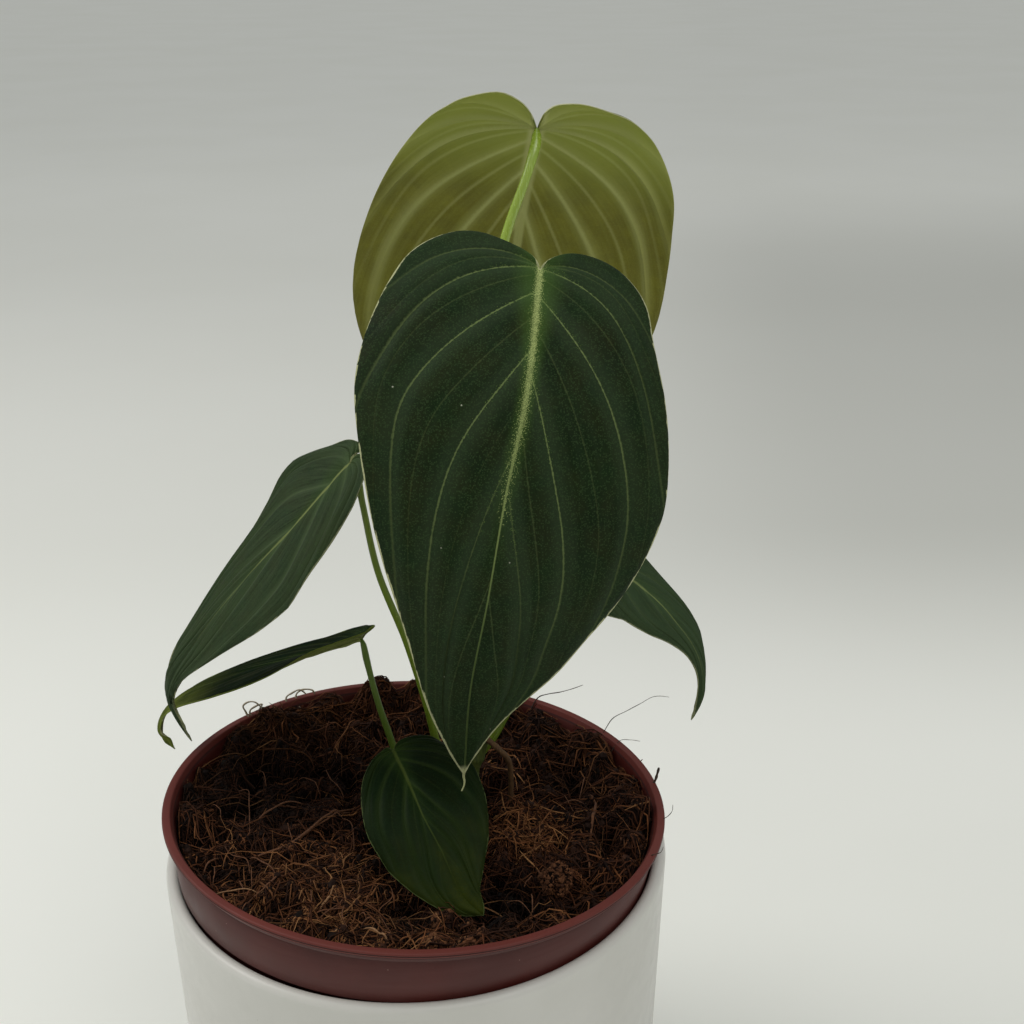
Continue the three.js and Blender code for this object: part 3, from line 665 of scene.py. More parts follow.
# %% The leaves of this plant
# "midrib" starts behind the petiole's seat, passes it as the second point, and ends at the tip.
# "faces" says where the upper side looks at the seat and at the tip. "left" and "right" are the halves
# of the outline, as distance along the midrib and distance out from it. "fold" and "curl" are in degrees,
# and in degrees for each millimetre outwards, at the seat and at the tip.
LEAVES = {
    "back": dict(
        midrib=[(31.4, 27.5, 270.5), (29.6, 42, 260.4), (26, 62, 237), (23, 72, 208), (20, 76, 178),
                (18, 73, 150), (17, 68, 137)],
        faces=[(0.07, 0.7, 0.7), (0.07, 1, 0.1)], fold=(0, 5), curl=(0.2, 0.4), wave=(0.9, 5, 0.5),
        openness=0.7,
        left=[(-5.4, 1.1), (-11.2, 3.8), (-14.2, 9), (-11.1, 18.4), (-4.5, 24.3), (6.5, 31.5),
              (16.2, 35.7), (28, 37.7), (40, 38.6), (57, 38.2), (76, 33), (100, 20), (124, 4.5)],
        right=[(-4.5, 2.2), (-10, 5.5), (-14.2, 10.5), (-11.5, 17.4), (-3.6, 22.5), (5.8, 27.6),
               (17.4, 33), (30.6, 37.3), (50, 41), (64, 40), (82, 33), (104, 19), (124, 4.5)],
        petiole=[(17.3, 8.8, 129.6), (17.8, 9.2, 133), (16.5, 13, 152), (14.5, 21, 180), (16, 28.5, 208),
                 (22.2, 34, 237), (27.3, 36.5, 251)], petiole_radii=(1.7, 1.0)),
    "front": dict(
        midrib=[(30, 6, 247), (29.3, -8, 239.2), (26.5, -26, 219), (22, -34, 199), (18.5, -36, 178.7),
                (14.5, -32, 155.9), (12.5, -24, 130)],
        faces=[(0.15, -0.75, 0.65), (0.15, -1, 0.1)], fold=(4, 6), curl=(0.35, 0.5), wave=(0.4, 5, 2.0),
        left=[(-2.4, 1.6), (-6.7, 8.5), (-9.5, 16), (-5, 24), (5.4, 30), (19.5, 33.6),
              (35, 33.3), (54, 26.6), (70, 20.3), (88, 12.5), (105, 6.6), (116, 2.4)],
        right=[(-2, 1.4), (-6.1, 7.8), (-5, 15.5), (2.3, 22.6), (12, 25.6), (24.5, 29.5),
               (47, 34), (64, 31.4), (81, 23.2), (92, 18), (106, 7.4), (116, 1.8)],
        petiole=[(16.5, 8, 120.5), (20.5, 9, 128), (25, 12, 150), (28, 14, 180), (30, 11, 210),
                 (29.8, 3, 228)], petiole_radii=(1.7, 1.1)),
    "left": dict(
        midrib=[(-4, -3, 203), (-11.6, -5, 196.4), (-23.9, -5, 182.3), (-39.9, -1, 163.7), (-50, 1, 150),
                (-56.5, 3, 139.7), (-58.3, 5, 132.8), (-57.6, 6, 127.9), (-55.2, 8, 119.3)],
        faces=[(-0.74, -0.33, 0.52), (-0.7, -0.6, 0.3)], fold=(2, 4), curl=(0.2, 0.4), wave=(0.8, 6, 0.8),
        left=[(-3.4, 0.5), (-4.6, 2.4), (-3.6, 5.6), (-0.6, 9.6), (2.4, 12.6), (8.9, 18.3), (15.3, 21.1),
              (20.7, 19.8), (26.9, 16), (35.9, 12), (44.2, 9.8), (53.8, 7.6), (62.4, 6.2), (71.1, 5.7),
              (78.1, 5), (82.9, 2.6), (88.7, 0.9)],
        right=[(-3.4, 0.4), (-4.6, 2.2), (-4.2, 5.2), (-1.6, 9.2), (2.6, 11.6), (7, 12.6), (12.6, 14),
               (18.4, 15.4), (26.2, 16.8), (34.4, 15.2), (43.7, 12.9), (56.5, 8.5), (70.1, 3.4), (78.7, 1.2),
               (88.7, 0.8)],
        petiole=[(10.4, 8.4, 105.5), (6.8, 8.2, 111), (4.6, 7.8, 119), (2.6, 7.4, 129.4), (-1.5, 5.4, 147.4),
                 (-7.1, 1.5, 167.6), (-9.4, -2.6, 186)], petiole_radii=(1.05, 0.66), neck=1.7, swell=0.45),
    "left_low": dict(
        midrib=[(-9, 15, 146.5), (-13.6, 15, 144), (-22.6, 17, 139.8), (-34.3, 19, 135.2),
                (-47.3, 20, 130.4), (-59.2, 21, 124.8), (-65, 22, 119.3), (-66.5, 21, 114.6),
                (-62.9, 20, 109.6)],
        faces=[(-0.3, 0.3, 0.9), (-0.6, 0.05, 0.6)], fold=(-9, 8), curl=(0, 0.4), wave=(0.4, 4, 1.5),
        left=[(-1, 1), (-3, 4), (-3, 6), (0, 8), (6, 9.5), (16, 10.8), (28, 10.8), (42, 7.6), (53, 4.4),
              (60, 3.4), (66, 1.8)],
        right=[(-1, 1), (-4, 4), (-4.5, 8), (-1, 12), (6, 15.5), (16, 18), (28, 16.5), (42, 11), (53, 5.2),
               (60, 3.2), (66, 1.6)],
        petiole=[(-1, 9.6, 94), (-3.4, 10.4, 104), (-6.4, 11.6, 115.5), (-9.8, 13, 127.1),
                 (-12.2, 14.4, 138)], petiole_radii=(1.05, 0.66), neck=1.8, swell=0.2),
    "right": dict(
        midrib=[(38, 11, 168), (43.9, 10, 164.9), (52.4, 10, 160.5), (62.1, 8, 151), (67.3, 8, 142),
                (68.8, 8, 133), (66.7, 8, 124.5)],
        faces=[(0.56, -0.34, 0.6), (0.7, -0.52, 0.3)], fold=(2, 4), curl=(0.3, 0.4), wave=(0.4, 4, 0.2),
        left=[(-1.2, 1), (-4, 5), (-4, 9.5), (0, 12.5), (5, 12.5), (13.5, 11.5), (19.3, 9.3), (24.3, 6.2),
              (30, 3.8), (36, 2.4), (43, 1.5)],
        right=[(-1.2, 1), (-4, 5), (-4, 9), (0, 11), (6, 11), (12, 9), (19, 8.2), (25, 7.5), (30, 6.4),
               (33, 4.8), (36, 3.3), (43, 1.5)],
        petiole=[(13.8, 8, 114.5), (18, 10.5, 118.5), (22, 12.6, 125), (28, 13, 135), (39.5, 11.5, 153)],
        petiole_radii=(1.4, 0.9), swell=0.5),
    "small": dict(
        midrib=[(-8, 4, 126.4), (-4.7, -5.6, 125), (-1.1, -14.7, 123.5), (3.4, -24.3, 119),
                (7.3, -29.3, 114), (12.3, -36.7, 107), (16.8, -38.8, 103.6)],
        faces=[(0.15, -0.6, 0.8), (0.15, -0.75, 0.65)], fold=(0, 4), curl=(0.2, 0.4), wave=(0.3, 4, 0),
        left=[(-0.8, 1.6), (1.2, 5.4), (5, 8.3), (10.5, 11), (19.8, 13), (24, 12.7), (30, 12), (35, 9.8),
              (39, 6.8), (43, 3.3)],
        right=[(-1.2, 1), (-2.7, 3), (-3.2, 6.8), (-2, 9.8), (1.5, 11.6), (12, 15.6), (17.5, 15.6),
               (25.6, 14.3), (34.5, 8.6), (45.6, 1.8)],
        petiole=[(11, 7, 107), (8.4, 2.5, 110.5), (3, -1, 115), (-2.4, -2.6, 119.6)],
        petiole_radii=(1.2, 0.8), swell=0.3),
}


# %% [markdown]
# A blade is bent in space, so a small class carries flat places along the bent midrib. It keeps
# three directions at every point: along the midrib, across the blade and up from it.

# %% The bent midrib
class Spine:
    """A leaf's midrib, and the way in which flat places on the blade are carried along it."""

    def __init__(self, leaf, span_steps=60):
        self.line = smooth_line(leaf["midrib"], span_steps)
        run = run_along(self.line)
        self.places = run - run[span_steps]
        self.length = self.places[-1]
        self.along = unit(np.gradient(self.line, self.places, axis=0))
        grown = np.clip(self.places / self.length, 0, 1)[:, None]
        up = between_ends(np.array(leaf["faces"]), grown)
        self.up = unit(up - self.along * np.sum(up * self.along, 1, keepdims=True))
        self.across = np.cross(self.along, self.up)
        self.fold, self.curl = np.radians(leaf["fold"]), np.radians(leaf["curl"])

    def carry(self, v, u, side):
        """Where a flat place lies in space, and which way the upper side looks there."""
        point, up, across = (pick(table, self.places, v) for table in (self.line, self.up, self.across))
        grown = np.clip(v / self.length, 0, 1)
        fold = between_ends(self.fold, grown)
        curl = np.maximum(between_ends(self.curl, grown), 1e-6)
        turn = (fold + curl * u)[..., None]
        out = (np.sin(turn) - np.sin(fold[..., None])) / curl[..., None]
        rise = (np.cos(turn) - np.cos(fold[..., None])) / curl[..., None]
        place = point + side * across * out + up * rise
        normal = up * np.cos(turn) + side * across * np.sin(turn)
        on_midrib = (u == 0)[..., None]
        return place, unit(np.where(on_midrib, up, normal))


# %% [markdown]
# The flat fan is drawn once, on a common heart. Each line has a share, from 0 at the seat to 1 at the tip.
# Lines with a low share start at the seat and feed the lobe, the others start along the midrib.
# A cubic Bezier gives each line its arch: it leaves the midrib steeply, bends towards the tip
# and comes in almost along the margin, as the veins in the photograph do.

# %% The fan of a common heart
HEART = [(-5, 3), (-10.5, 7), (-13.5, 12.5), (-11.5, 19), (-4.5, 25.5), (6, 31.5), (18, 36), (32, 39),
         (48, 40), (64, 37.5), (82, 29.5), (100, 17.5), (114, 7.5)]
HEART_LENGTH = 124
LOBE_SHARE = 0.4
LOBE_MARGIN_SHARE = 0.45
MIDRIB_CROWDING = 1.8
MARGIN_CROWDING = 2.9
TIP_SPREAD = 0.25
MARGIN_STEPS = 240


def soft_step(values):
    eased = np.clip(values, 0, 1)
    return eased * eased * (3 - 2 * eased)


def towards(degrees):
    return np.stack([np.cos(np.radians(degrees)), np.sin(np.radians(degrees))], -1)


def heart_fan(shares, steps, openness):
    """Flat places (lines, steps, 2) as distance along the midrib and distance out from it."""
    margin = smooth_line([(0, 0), *HEART, (HEART_LENGTH, 0)])
    run = share_along(margin)
    past = np.clip((shares - LOBE_SHARE) / (1 - LOBE_SHARE), 0, 1)
    start = np.stack([HEART_LENGTH * past ** MIDRIB_CROWDING, np.zeros_like(past)], -1)
    beyond = 1 - np.maximum((1 - past) ** MARGIN_CROWDING, (1 - past) * TIP_SPREAD)
    where = LOBE_MARGIN_SHARE * np.minimum(1, shares / LOBE_SHARE) + (1 - LOBE_MARGIN_SHARE) * beyond
    end = pick(margin, run, where)
    ahead = pick(margin, run, np.minimum(1, where + 0.012)) - pick(margin, run, np.maximum(0, where - 0.012))
    along_margin = np.degrees(np.unwrap(np.arctan2(ahead[:, 1], ahead[:, 0])))
    chord = end - start
    reach = np.linalg.norm(chord, axis=1, keepdims=True)
    heading = np.degrees(np.arctan2(chord[:, 1], chord[:, 0]))
    arch = soft_step(shares / 0.2)
    widest = 47 - 16 * soft_step((shares - 0.36) / 0.3)
    opening = np.minimum(widest * (1 - np.exp(-heading / 10)), 0.65 * (150 - heading)) * arch * openness
    arrival = heading + (along_margin + 20 - heading) * arch
    first = start + 0.42 * reach * towards(heading + opening)
    second = end - 0.47 * reach * towards(arrival)
    t = steps[None, :, None]
    corners = [p[:, None, :] for p in (start, first, second, end)]
    fan = (1 - t) ** 3 * corners[0] + 3 * t * (1 - t) ** 2 * corners[1]
    return fan + 3 * t ** 2 * (1 - t) * corners[2] + t ** 3 * corners[3]


# %% [markdown]
# Every leaf has an outline of its own, so the heart's fan is stretched to fit it. Along the midrib
# each point keeps its share of the half width. Round the lobes, where lines run backwards,
# it keeps its share of the reach from the seat instead. In between, the two ways are blended.

# %% Fitting the fan to a leaf
def round_seat(line):
    """A margin as angles at the seat, from the tip round to the lobe, and the reach at each of them."""
    angles = np.degrees(np.arctan2(line[:, 1], line[:, 0]))[:0:-1]
    reach = np.hypot(line[:, 0], line[:, 1])[:0:-1]
    return np.maximum.accumulate(angles) + np.arange(len(angles)) * 1e-6, reach


def half_width(line, v):
    outer = line[np.argmin(line[:, 0]):]
    rising = np.maximum.accumulate(outer[:, 0]) + np.arange(len(outer)) * 1e-7
    return np.interp(v, rising, outer[:, 1])


def fit_fan(fan, steps, outline, length):
    heart = smooth_line([(0, 0), *HEART, (HEART_LENGTH, 0)], MARGIN_STEPS)
    margin = smooth_line([(0, 0), *outline, (length, 0)], MARGIN_STEPS)
    scale = np.array([length / HEART_LENGTH, margin[:, 1].max() / heart[:, 1].max()])
    fan, heart = fan * scale, heart * scale
    angles, reach = round_seat(margin)
    heart_angles, heart_reach = round_seat(heart)
    angle = np.degrees(np.arctan2(fan[..., 1], fan[..., 0]))
    turned_angle = angle * angles[-1] / heart_angles[-1]
    stretch = np.interp(turned_angle, angles, reach) / np.interp(angle, heart_angles, heart_reach)
    lobed = (np.hypot(fan[..., 0], fan[..., 1]) * stretch)[..., None] * towards(turned_angle)
    v = fan[..., 0]
    widened = fan[..., 1] * half_width(margin, v) / np.maximum(half_width(heart, v), 1e-9)
    level = np.stack([v, widened], -1)
    fitted = level + (lobed - level) * soft_step((angle - 40) / 45)[..., None]
    nearest = np.argmin(np.linalg.norm(fitted[:, -1, None] - margin[None], axis=-1), axis=1)
    order = np.arange(len(nearest))
    nearest = np.maximum.accumulate(nearest - order) + order
    return fitted + (margin[nearest] - fitted[:, -1])[:, None] * steps[None, :, None] ** 3, margin


def turned_over(fan):
    """How many cells of the flat fan lie the wrong way round, which would be folds in the blade."""
    a, b, c, d = fan[:-1, :-1], fan[1:, :-1], fan[1:, 1:], fan[:-1, 1:]
    p, q = c - a, d - b
    area = p[..., 0] * q[..., 1] - p[..., 1] * q[..., 0]
    return int(np.sum(area < -1e-6))


# %% [markdown]
# The relief comes next. On the upper side the blade swells softly between the main veins
# and dips at each of them. Below, the midrib stands out as a strong rib and the veins as fine ones.
# The distances to veins, midrib and margin are also kept as attributes: the colours need them.

# %% Relief and distances
SWELLING = 0.8
THIN_SWELLING = 0.22
GROOVE_DEPTH = 0.14
MIDRIB_GROOVE = 0.25
UNDER_RIB = 0.2
MIDRIB_RIB = 0.75
BLADE = 0.42
BLADE_AT_MARGIN = 0.22


def between(shares, veins):
    """How far each line lies between its two neighbouring veins, from 0 to 1."""
    marks = np.array([0, *veins, 1])
    slot_index = np.clip(np.searchsorted(marks, shares, side="right") - 1, 0, len(marks) - 2)
    return (shares - marks[slot_index]) / (marks[slot_index + 1] - marks[slot_index])


def vein_gap(fan, shares, veins):
    """Distance in millimetres to the nearest vein, measured square to the line."""
    across = np.gradient(fan, shares, axis=0)
    along = unit(np.gradient(fan, axis=1) + 1e-9)
    spacing = np.abs(across[..., 0] * along[..., 1] - across[..., 1] * along[..., 0])
    offset = np.min(np.abs(shares[:, None] - np.array(veins)[None, :]), axis=1)
    return spacing * offset[:, None]


def margin_gap(fan, margin):
    reach = np.linalg.norm(fan[:, :, None, :] - margin[None, None, ::12, :], axis=-1)
    return reach.min(-1)


# %% [markdown]
# A real blade bulges between its veins and sinks along them, and below it each vein stands out as a rib.
# Each half is worked out by itself: its fan is carried into space, and its top and underside are moved
# along the normal by those forms. Extra lines run close beside the main veins, so that grooves stay crisp.

# %% One half of a blade
def thin_between(veins):
    marks = [*veins, 0.93]
    return [round((a + b) / 2, 4) for a, b in zip(marks, marks[1:])]


def line_shares(both_veins, lines):
    """Even lines, plus close ones on and beside the main veins, so that grooves stay crisp."""
    shares = set(np.round(np.linspace(0, 1, lines + 1), 5))
    veins = sorted(set(both_veins[0] + both_veins[1]))
    thin_veins = thin_between(both_veins[0]) + thin_between(both_veins[1])
    for vein in veins:
        shares -= {s for s in shares if abs(s - vein) < 0.45 / lines}
        shares |= {round(vein + step, 5) for step in (-0.007, -0.0028, 0, 0.0028, 0.007)}
    shares |= {round(vein, 5) for vein in thin_veins}
    ordered = sorted(s for s in shares if 0.02 < s < 1)
    kept = [ordered[0]]
    for share in ordered[1:]:
        if share - kept[-1] > 0.0015:
            kept.append(share)
    return np.array(kept)


def blade_half(leaf, spine, side, shares, steps, veins):
    outline = leaf["left"] if side > 0 else leaf["right"]
    fan, margin = fit_fan(heart_fan(shares, steps, leaf.get("openness", 1.0)), steps, outline, spine.length)
    v, u = fan[..., 0], np.maximum(fan[..., 1], 0)
    u[:, 0] = 0
    t = steps[None, :] * np.ones_like(v)
    place, normal = spine.carry(v, u, side)
    thin_veins = thin_between(veins)
    main_gap = vein_gap(fan, shares, veins)
    thin = vein_gap(fan, shares, thin_veins)
    rise = (4 * t * (1 - t)) ** 0.7
    swell = leaf.get("swell", SWELLING) * np.sin(math.pi * between(shares, veins))[:, None] ** 0.8 * rise
    every = sorted([*veins, *thin_veins])
    swell += THIN_SWELLING * np.sin(math.pi * between(shares, every))[:, None] ** 0.8 * rise
    height, count, phase = leaf["wave"]
    wave = height * np.sin(2 * math.pi * count * shares + phase)[:, None] * t ** 2 * (1 - shares[:, None])
    lift = swell + wave
    grown = np.clip(v / spine.length, 0, 1)
    fade = np.clip(1.15 - t, 0, 1)
    groove = GROOVE_DEPTH * fade * np.exp(-(main_gap / 0.6) ** 2)
    groove += MIDRIB_GROOVE * (1 - grown) * np.exp(-(u / 0.9) ** 2)
    rib = UNDER_RIB * fade * np.exp(-(main_gap / 0.7) ** 2)
    rib += MIDRIB_RIB * (1 - grown) ** 0.8 * np.exp(-(u / 1.0) ** 2) * (v >= 0)
    half = between_ends((BLADE, BLADE_AT_MARGIN), t ** 4) / 2
    top = place + normal * (lift + half - groove)[..., None]
    under = place + normal * (lift - half - rib)[..., None]
    rim = place[:, -1] + normal[:, -1] * lift[:, -1:]
    outward = unit(place[:, -1] - place[:, -2])
    facts = {"vein_gap": main_gap, "thin_gap": thin, "rib_gap": u, "edge_gap": margin_gap(fan, margin),
             "grown": grown, "out": t, "fan": shares[:, None] * np.ones_like(v)}
    return dict(top=top, under=under, rim=rim + outward * 0.08, facts=facts, folds=turned_over(fan))


# %% [markdown]
# Now both halves are sewn together. They share the points on the midrib, the seat and the tip,
# and along the margin the two faces meet in a rounded edge. Every face is a quad except at the seat
# and the tip, where lines meet and a quad that lost a corner becomes a triangle.

# %% Sewing a blade
def sew_blade(name, leaf, both_veins, lines, across_steps):
    """One closed mesh from both halves. Its first material is for the upper side, its second for below."""
    spine = Spine(leaf)
    shares = line_shares(both_veins, lines)
    steps = (np.arange(across_steps + 1) / across_steps) ** 1.5
    halves = [blade_half(leaf, spine, side, shares, steps, veins)
              for side, veins in zip((1, -1), both_veins)]
    points, facts = [], {key: [] for key in halves[0]["facts"]}

    def add(point, values):
        points.append(point)
        for key in facts:
            facts[key].append(values[key])
        return len(points) - 1

    last = {key: halves[0]["facts"][key][-1, 0] for key in facts}
    seat_facts = dict(vein_gap=0, thin_gap=0, rib_gap=0, edge_gap=0.8, grown=0, out=0, fan=0)
    tip_facts = {**last, "rib_gap": 0, "edge_gap": 0, "grown": 1, "out": 1, "fan": 1}
    on_seat = spine.carry(np.array([0.0]), np.array([0.0]), 1)
    on_tip = spine.carry(np.array([spine.length]), np.array([0.0]), 1)
    layers = {}
    for layer, reach in (("top", BLADE / 2 - MIDRIB_GROOVE), ("under", -BLADE / 2 - MIDRIB_RIB)):
        seat = add(on_seat[0][0] + on_seat[1][0] * reach, seat_facts)
        tip_lift = math.copysign(BLADE_AT_MARGIN / 2, reach if layer == "under" else 1)
        tip = add(on_tip[0][0] + on_tip[1][0] * tip_lift, tip_facts)
        grids = []
        for half in halves:
            index = np.zeros((len(shares) + 2, len(steps)), int)
            index[0], index[-1] = seat, tip
            for i, share in enumerate(shares):
                for j in range(len(steps)):
                    if j == 0 and share <= LOBE_SHARE:
                        index[i + 1, j] = seat
                    elif j == 0 and half is halves[1]:
                        index[i + 1, j] = grids[0][i + 1, j]
                    else:
                        values = {key: half["facts"][key][i, j] for key in facts}
                        index[i + 1, j] = add(half[layer][i, j], values)
            grids.append(index)
        layers[layer] = grids
    faces, slots = [], []

    def add_face(corners, slot_number):
        ring = [c for k, c in enumerate(corners) if c != corners[k - 1]]
        if len(set(ring)) > 2:
            faces.append(ring)
            slots.append(slot_number)

    seat_edge, tip_edge = add(on_seat[0][0], seat_facts), add(on_tip[0][0], tip_facts)
    for side, half in enumerate(halves):
        ring = [seat_edge]
        for i, point in enumerate(half["rim"]):
            ring.append(add(point, {**{key: half["facts"][key][i, -1] for key in facts}, "edge_gap": 0}))
        ring.append(tip_edge)
        top, under = layers["top"][side], layers["under"][side]
        for i in range(len(ring) - 1):
            cells = []
            for j in range(len(steps) - 1):
                cells += [((top[i, j], top[i, j + 1], top[i + 1, j + 1], top[i + 1, j]), 0),
                          ((under[i, j], under[i + 1, j], under[i + 1, j + 1], under[i, j + 1]), 1)]
            cells += [((top[i, -1], ring[i], ring[i + 1], top[i + 1, -1]), 0),
                      ((ring[i], under[i, -1], under[i + 1, -1], ring[i + 1]), 0)]
            for corners, slot_number in cells:
                add_face(corners if side == 0 else corners[::-1], slot_number)
    piece = make_mesh(name, points, faces)
    piece.data.polygons.foreach_set("material_index", slots)
    smooth_shade(piece.data)
    for key, values in facts.items():
        set_values(piece.data, key, values)
    folds = [half["folds"] for half in halves]
    print(f"{name}: {len(shares)} vein lines, midrib {spine.length:.1f} mm, folded cells {folds}")
    return piece


# %% [markdown]
# ## Leaf finishes
# The upper side of a grown leaf is almost black green and looks like velvet: each cell of the skin
# is a tiny dome that scatters light at its rim, which the sheen of the shader stands for.
# The recipe works upwards: a mottled dark green, blotches, a lighter grey-green band beside each vein,
# which on the upper side is painted sheen, the thin and the main veins, a green glow at the seat, pale grains
# that thicken into the midrib, the cream line along the margin and a few specks of dust. It draws them
# from the distances that the mesh carries, and each leaf fills it with its own tones.

# %% The recipe for one side of a leaf
def leaf_finish(name, look):
    leaf = Finish(name, Sheen_Weight=look["sheen"], Sheen_Roughness=0.5, Specular_IOR_Level=look["gloss"])
    leaf.shader.inputs["Sheen Tint"].default_value = colour(*look["sheen_tint"])
    to_vein, to_rib, fan, out, grown = (
        leaf.attribute(key) for key in ("vein_gap", "rib_gap", "fan", "out", "grown"))
    clouds = leaf.use(patches_group, Size=11.0, Sharpness=0.1)
    base = leaf.mix(clouds, colour(*look["dark"]), colour(*look["light"]))
    mottle = leaf.use(patches_group, Size=0.8, Sharpness=0.3)
    base = leaf.over(base, look["mottled"], leaf.times(mottle, look["mottle"]))
    elsewhere = leaf.vector("ADD", leaf.place, (31.0, 7.0, 0.0))
    blotch = leaf.use(patches_group, place=elsewhere, Size=6.0, Sharpness=0.2)
    base = leaf.over(base, look["blotch"], leaf.times(blotch, look["blotch_share"]))
    old = leaf.ease(grown, look["turning"][0], look["turning"][1])
    old = leaf.times(old, leaf.plus(0.4, leaf.times(0.6, blotch)))
    base = leaf.over(base, look["turned"], old)
    base = leaf.over(base, look["lobe"], leaf.ease(grown, 0.0, look["lobe_reach"], look["lobe_share"], 0.0))
    streaks = leaf.combine(leaf.times(fan, 160.0), leaf.times(out, 5.0))
    streak = leaf.use(patches_group, place=streaks, Size=1.0, Sharpness=0.0)
    base = leaf.over(base, look["band"], leaf.times(streak, look["streak"]))
    # Painted sheen on the upper side: a lighter grey-green band beside each vein. On the underside the band
    # is the pale tone along the veins.
    band = leaf.ease(to_vein, 0.1, look["band_width"], look["band_share"], 0.0)
    base = leaf.over(base, look["band"], leaf.times(band, leaf.ease(out, 0.4, 1.0, 1.0, 0.4)))
    cells = leaf.use(specks_group, Size=0.3, Share=0.4, Dot=0.7)
    base = leaf.over(base, look["cell"], leaf.times(cells, look["cells"]))
    thin = leaf.use(lines_group, Gap=leaf.attribute("thin_gap"), Half_Width=0.03, Softness=look["thin_soft"],
                    Break__up=0.4)
    thin = leaf.times(thin, leaf.ease(out, 0.0, 1.0, look["thin_share"], 0.3 * look["thin_share"]))
    base = leaf.over(base, look["vein"], thin)
    width = leaf.ease(out, 0.0, 0.9, look["vein_width"], 0.5 * look["vein_width"])
    blur = leaf.ease(out, 0.1, 0.9, look["vein_soft"], 2.4 * look["vein_soft"])
    vein = leaf.use(lines_group, Gap=to_vein, Half_Width=width, Softness=blur, Break__up=0.45)
    vein = leaf.times(vein, leaf.ease(out, 0.1, 1.0, look["vein_share"], 0.2 * look["vein_share"]))
    vein = leaf.times(vein, leaf.ease(fan, 0.1, 0.35, 0.35, 1.0))
    vein = leaf.times(vein, leaf.ease(fan, 0.62, 0.74, 1.0, look["late_vein"]))
    base = leaf.over(base, look["vein"], vein)
    by_vein = leaf.times(leaf.ease(to_vein, 0.0, 0.8, 0.3, 0.0), leaf.ease(out, 0.0, 0.3, 1.0, 0.0))
    near_rib = leaf.ease(to_rib, 0.0, look["halo_width"], 1.0, 0.0)
    glow_width = leaf.ease(grown, 0.0, 0.2, 7.0, 2.8)
    glow = leaf.ease(leaf.math("DIVIDE", to_rib, glow_width), 0.0, 1.0, look["glow_share"], 0.0)
    glow = leaf.times(glow, leaf.ease(grown, 0.1, 0.6, 1.0, 0.0))
    base = leaf.over(base, look["glow"], glow)
    by_rib = leaf.times(leaf.math("POWER", near_rib, 2.2), leaf.ease(grown, 0.2, 0.5, 1.0, 0.0))
    grains = leaf.use(specks_group, Size=0.18, Share=leaf.math("MAXIMUM", by_rib, by_vein), Dot=0.62)
    grain_tone = leaf.mix(near_rib, colour(*look["halo"]), colour(*look["rib"]))
    base = leaf.mix(leaf.times(grains, look["halo_share"]), base, grain_tone)

    rib_width = leaf.ease(grown, 0.0, 0.5, look["rib_width"][0], look["rib_width"][1])
    rib_soft = leaf.ease(grown, 0.1, 0.5, look["rib_soft"], 0.16)
    ragged = leaf.ease(grown, 0.1, 0.5, look["rib_ragged"], 0.1)
    rib = leaf.use(lines_group, Gap=to_rib, Half_Width=rib_width, Softness=rib_soft, Break__up=ragged)
    solid = leaf.math("MAXIMUM", grains, leaf.ease(grown, 0.2, 0.55, look["rib_solid"], 1.0))
    rib = leaf.times(leaf.times(rib, solid), leaf.ease(grown, 0.3, 0.9, 1.0, look["rib_end"]))
    rib_tone = leaf.mix(leaf.ease(grown, 0.0, 0.7), colour(*look["rib"]), colour(*look["rib_tip"]))
    base = leaf.mix(leaf.times(rib, look["rib_share"]), base, rib_tone)
    edge_width = leaf.ease(grown, 0.2, 0.95, look["edge_width"][0], look["edge_width"][1])
    edge = leaf.use(lines_group, Gap=leaf.attribute("edge_gap"), Half_Width=edge_width, Softness=0.12,
                    Break__up=0.2)
    base = leaf.over(base, look["edge"], leaf.times(edge, look["edge_share"]))
    base = leaf.over(base, look["edge"], leaf.ease(grown, 0.965, 0.985, 0.0, look["tip_share"]))
    dust = leaf.use(specks_group, Size=4.5, Share=0.12, Dot=0.05)
    base = leaf.over(base, (190, 192, 172), leaf.times(dust, look["dust"]))
    uneven = leaf.times(leaf.use(patches_group, Size=5.0, Sharpness=0.2), 0.1)
    leaf.bump(leaf.use(grain_group, Size=0.28, Coarse_Size=2.4, Coarse_Share=1.2), 0.25, 0.09)
    return leaf.done(base, leaf.plus(look["rough"], uneven))


# %% [markdown]
# The tones below were read from the photograph with the shaded wall of the white pot as a guide.
# Every look starts from the velvet of the front leaf. A softer one and the underside change some of its
# values, and each leaf then names only what is its own.

# %% The tones of each leaf
# On an upper side the band tone is a painted sheen: the grey-green light that lies along the veins.
VELVET = dict(
    dark=(10, 28, 6), light=(18, 39, 12), mottle=0.35, mottled=(7, 19, 5), blotch=(38, 38, 11),
    blotch_share=0.45, turned=(32, 46, 22), turning=(0.5, 1.6), lobe=(28, 50, 22), lobe_share=0.35,
    lobe_reach=0.12, glow=(84, 118, 44), glow_share=0.34, band=(46, 61, 40), band_width=4.2, band_share=0.6,
    streak=0.22, cells=0.42, cell=(56, 78, 44), vein=(122, 138, 84), vein_width=0.03, vein_soft=0.17,
    vein_share=0.68, late_vein=0.3, thin_share=0.13, thin_soft=0.2, halo=(104, 130, 62), halo_width=2.4,
    halo_share=0.75, rib=(182, 194, 124), rib_tip=(106, 124, 70), rib_width=(0.2, 0.07), rib_soft=0.7,
    rib_ragged=0.5, rib_solid=0.4, rib_end=0.5, rib_share=0.85, edge=(190, 192, 148), edge_width=(0.26, 0.5),
    edge_share=0.85, tip_share=0.0, dust=0.0, rough=0.6, gloss=0.09, sheen=0.03, sheen_tint=(165, 180, 160))
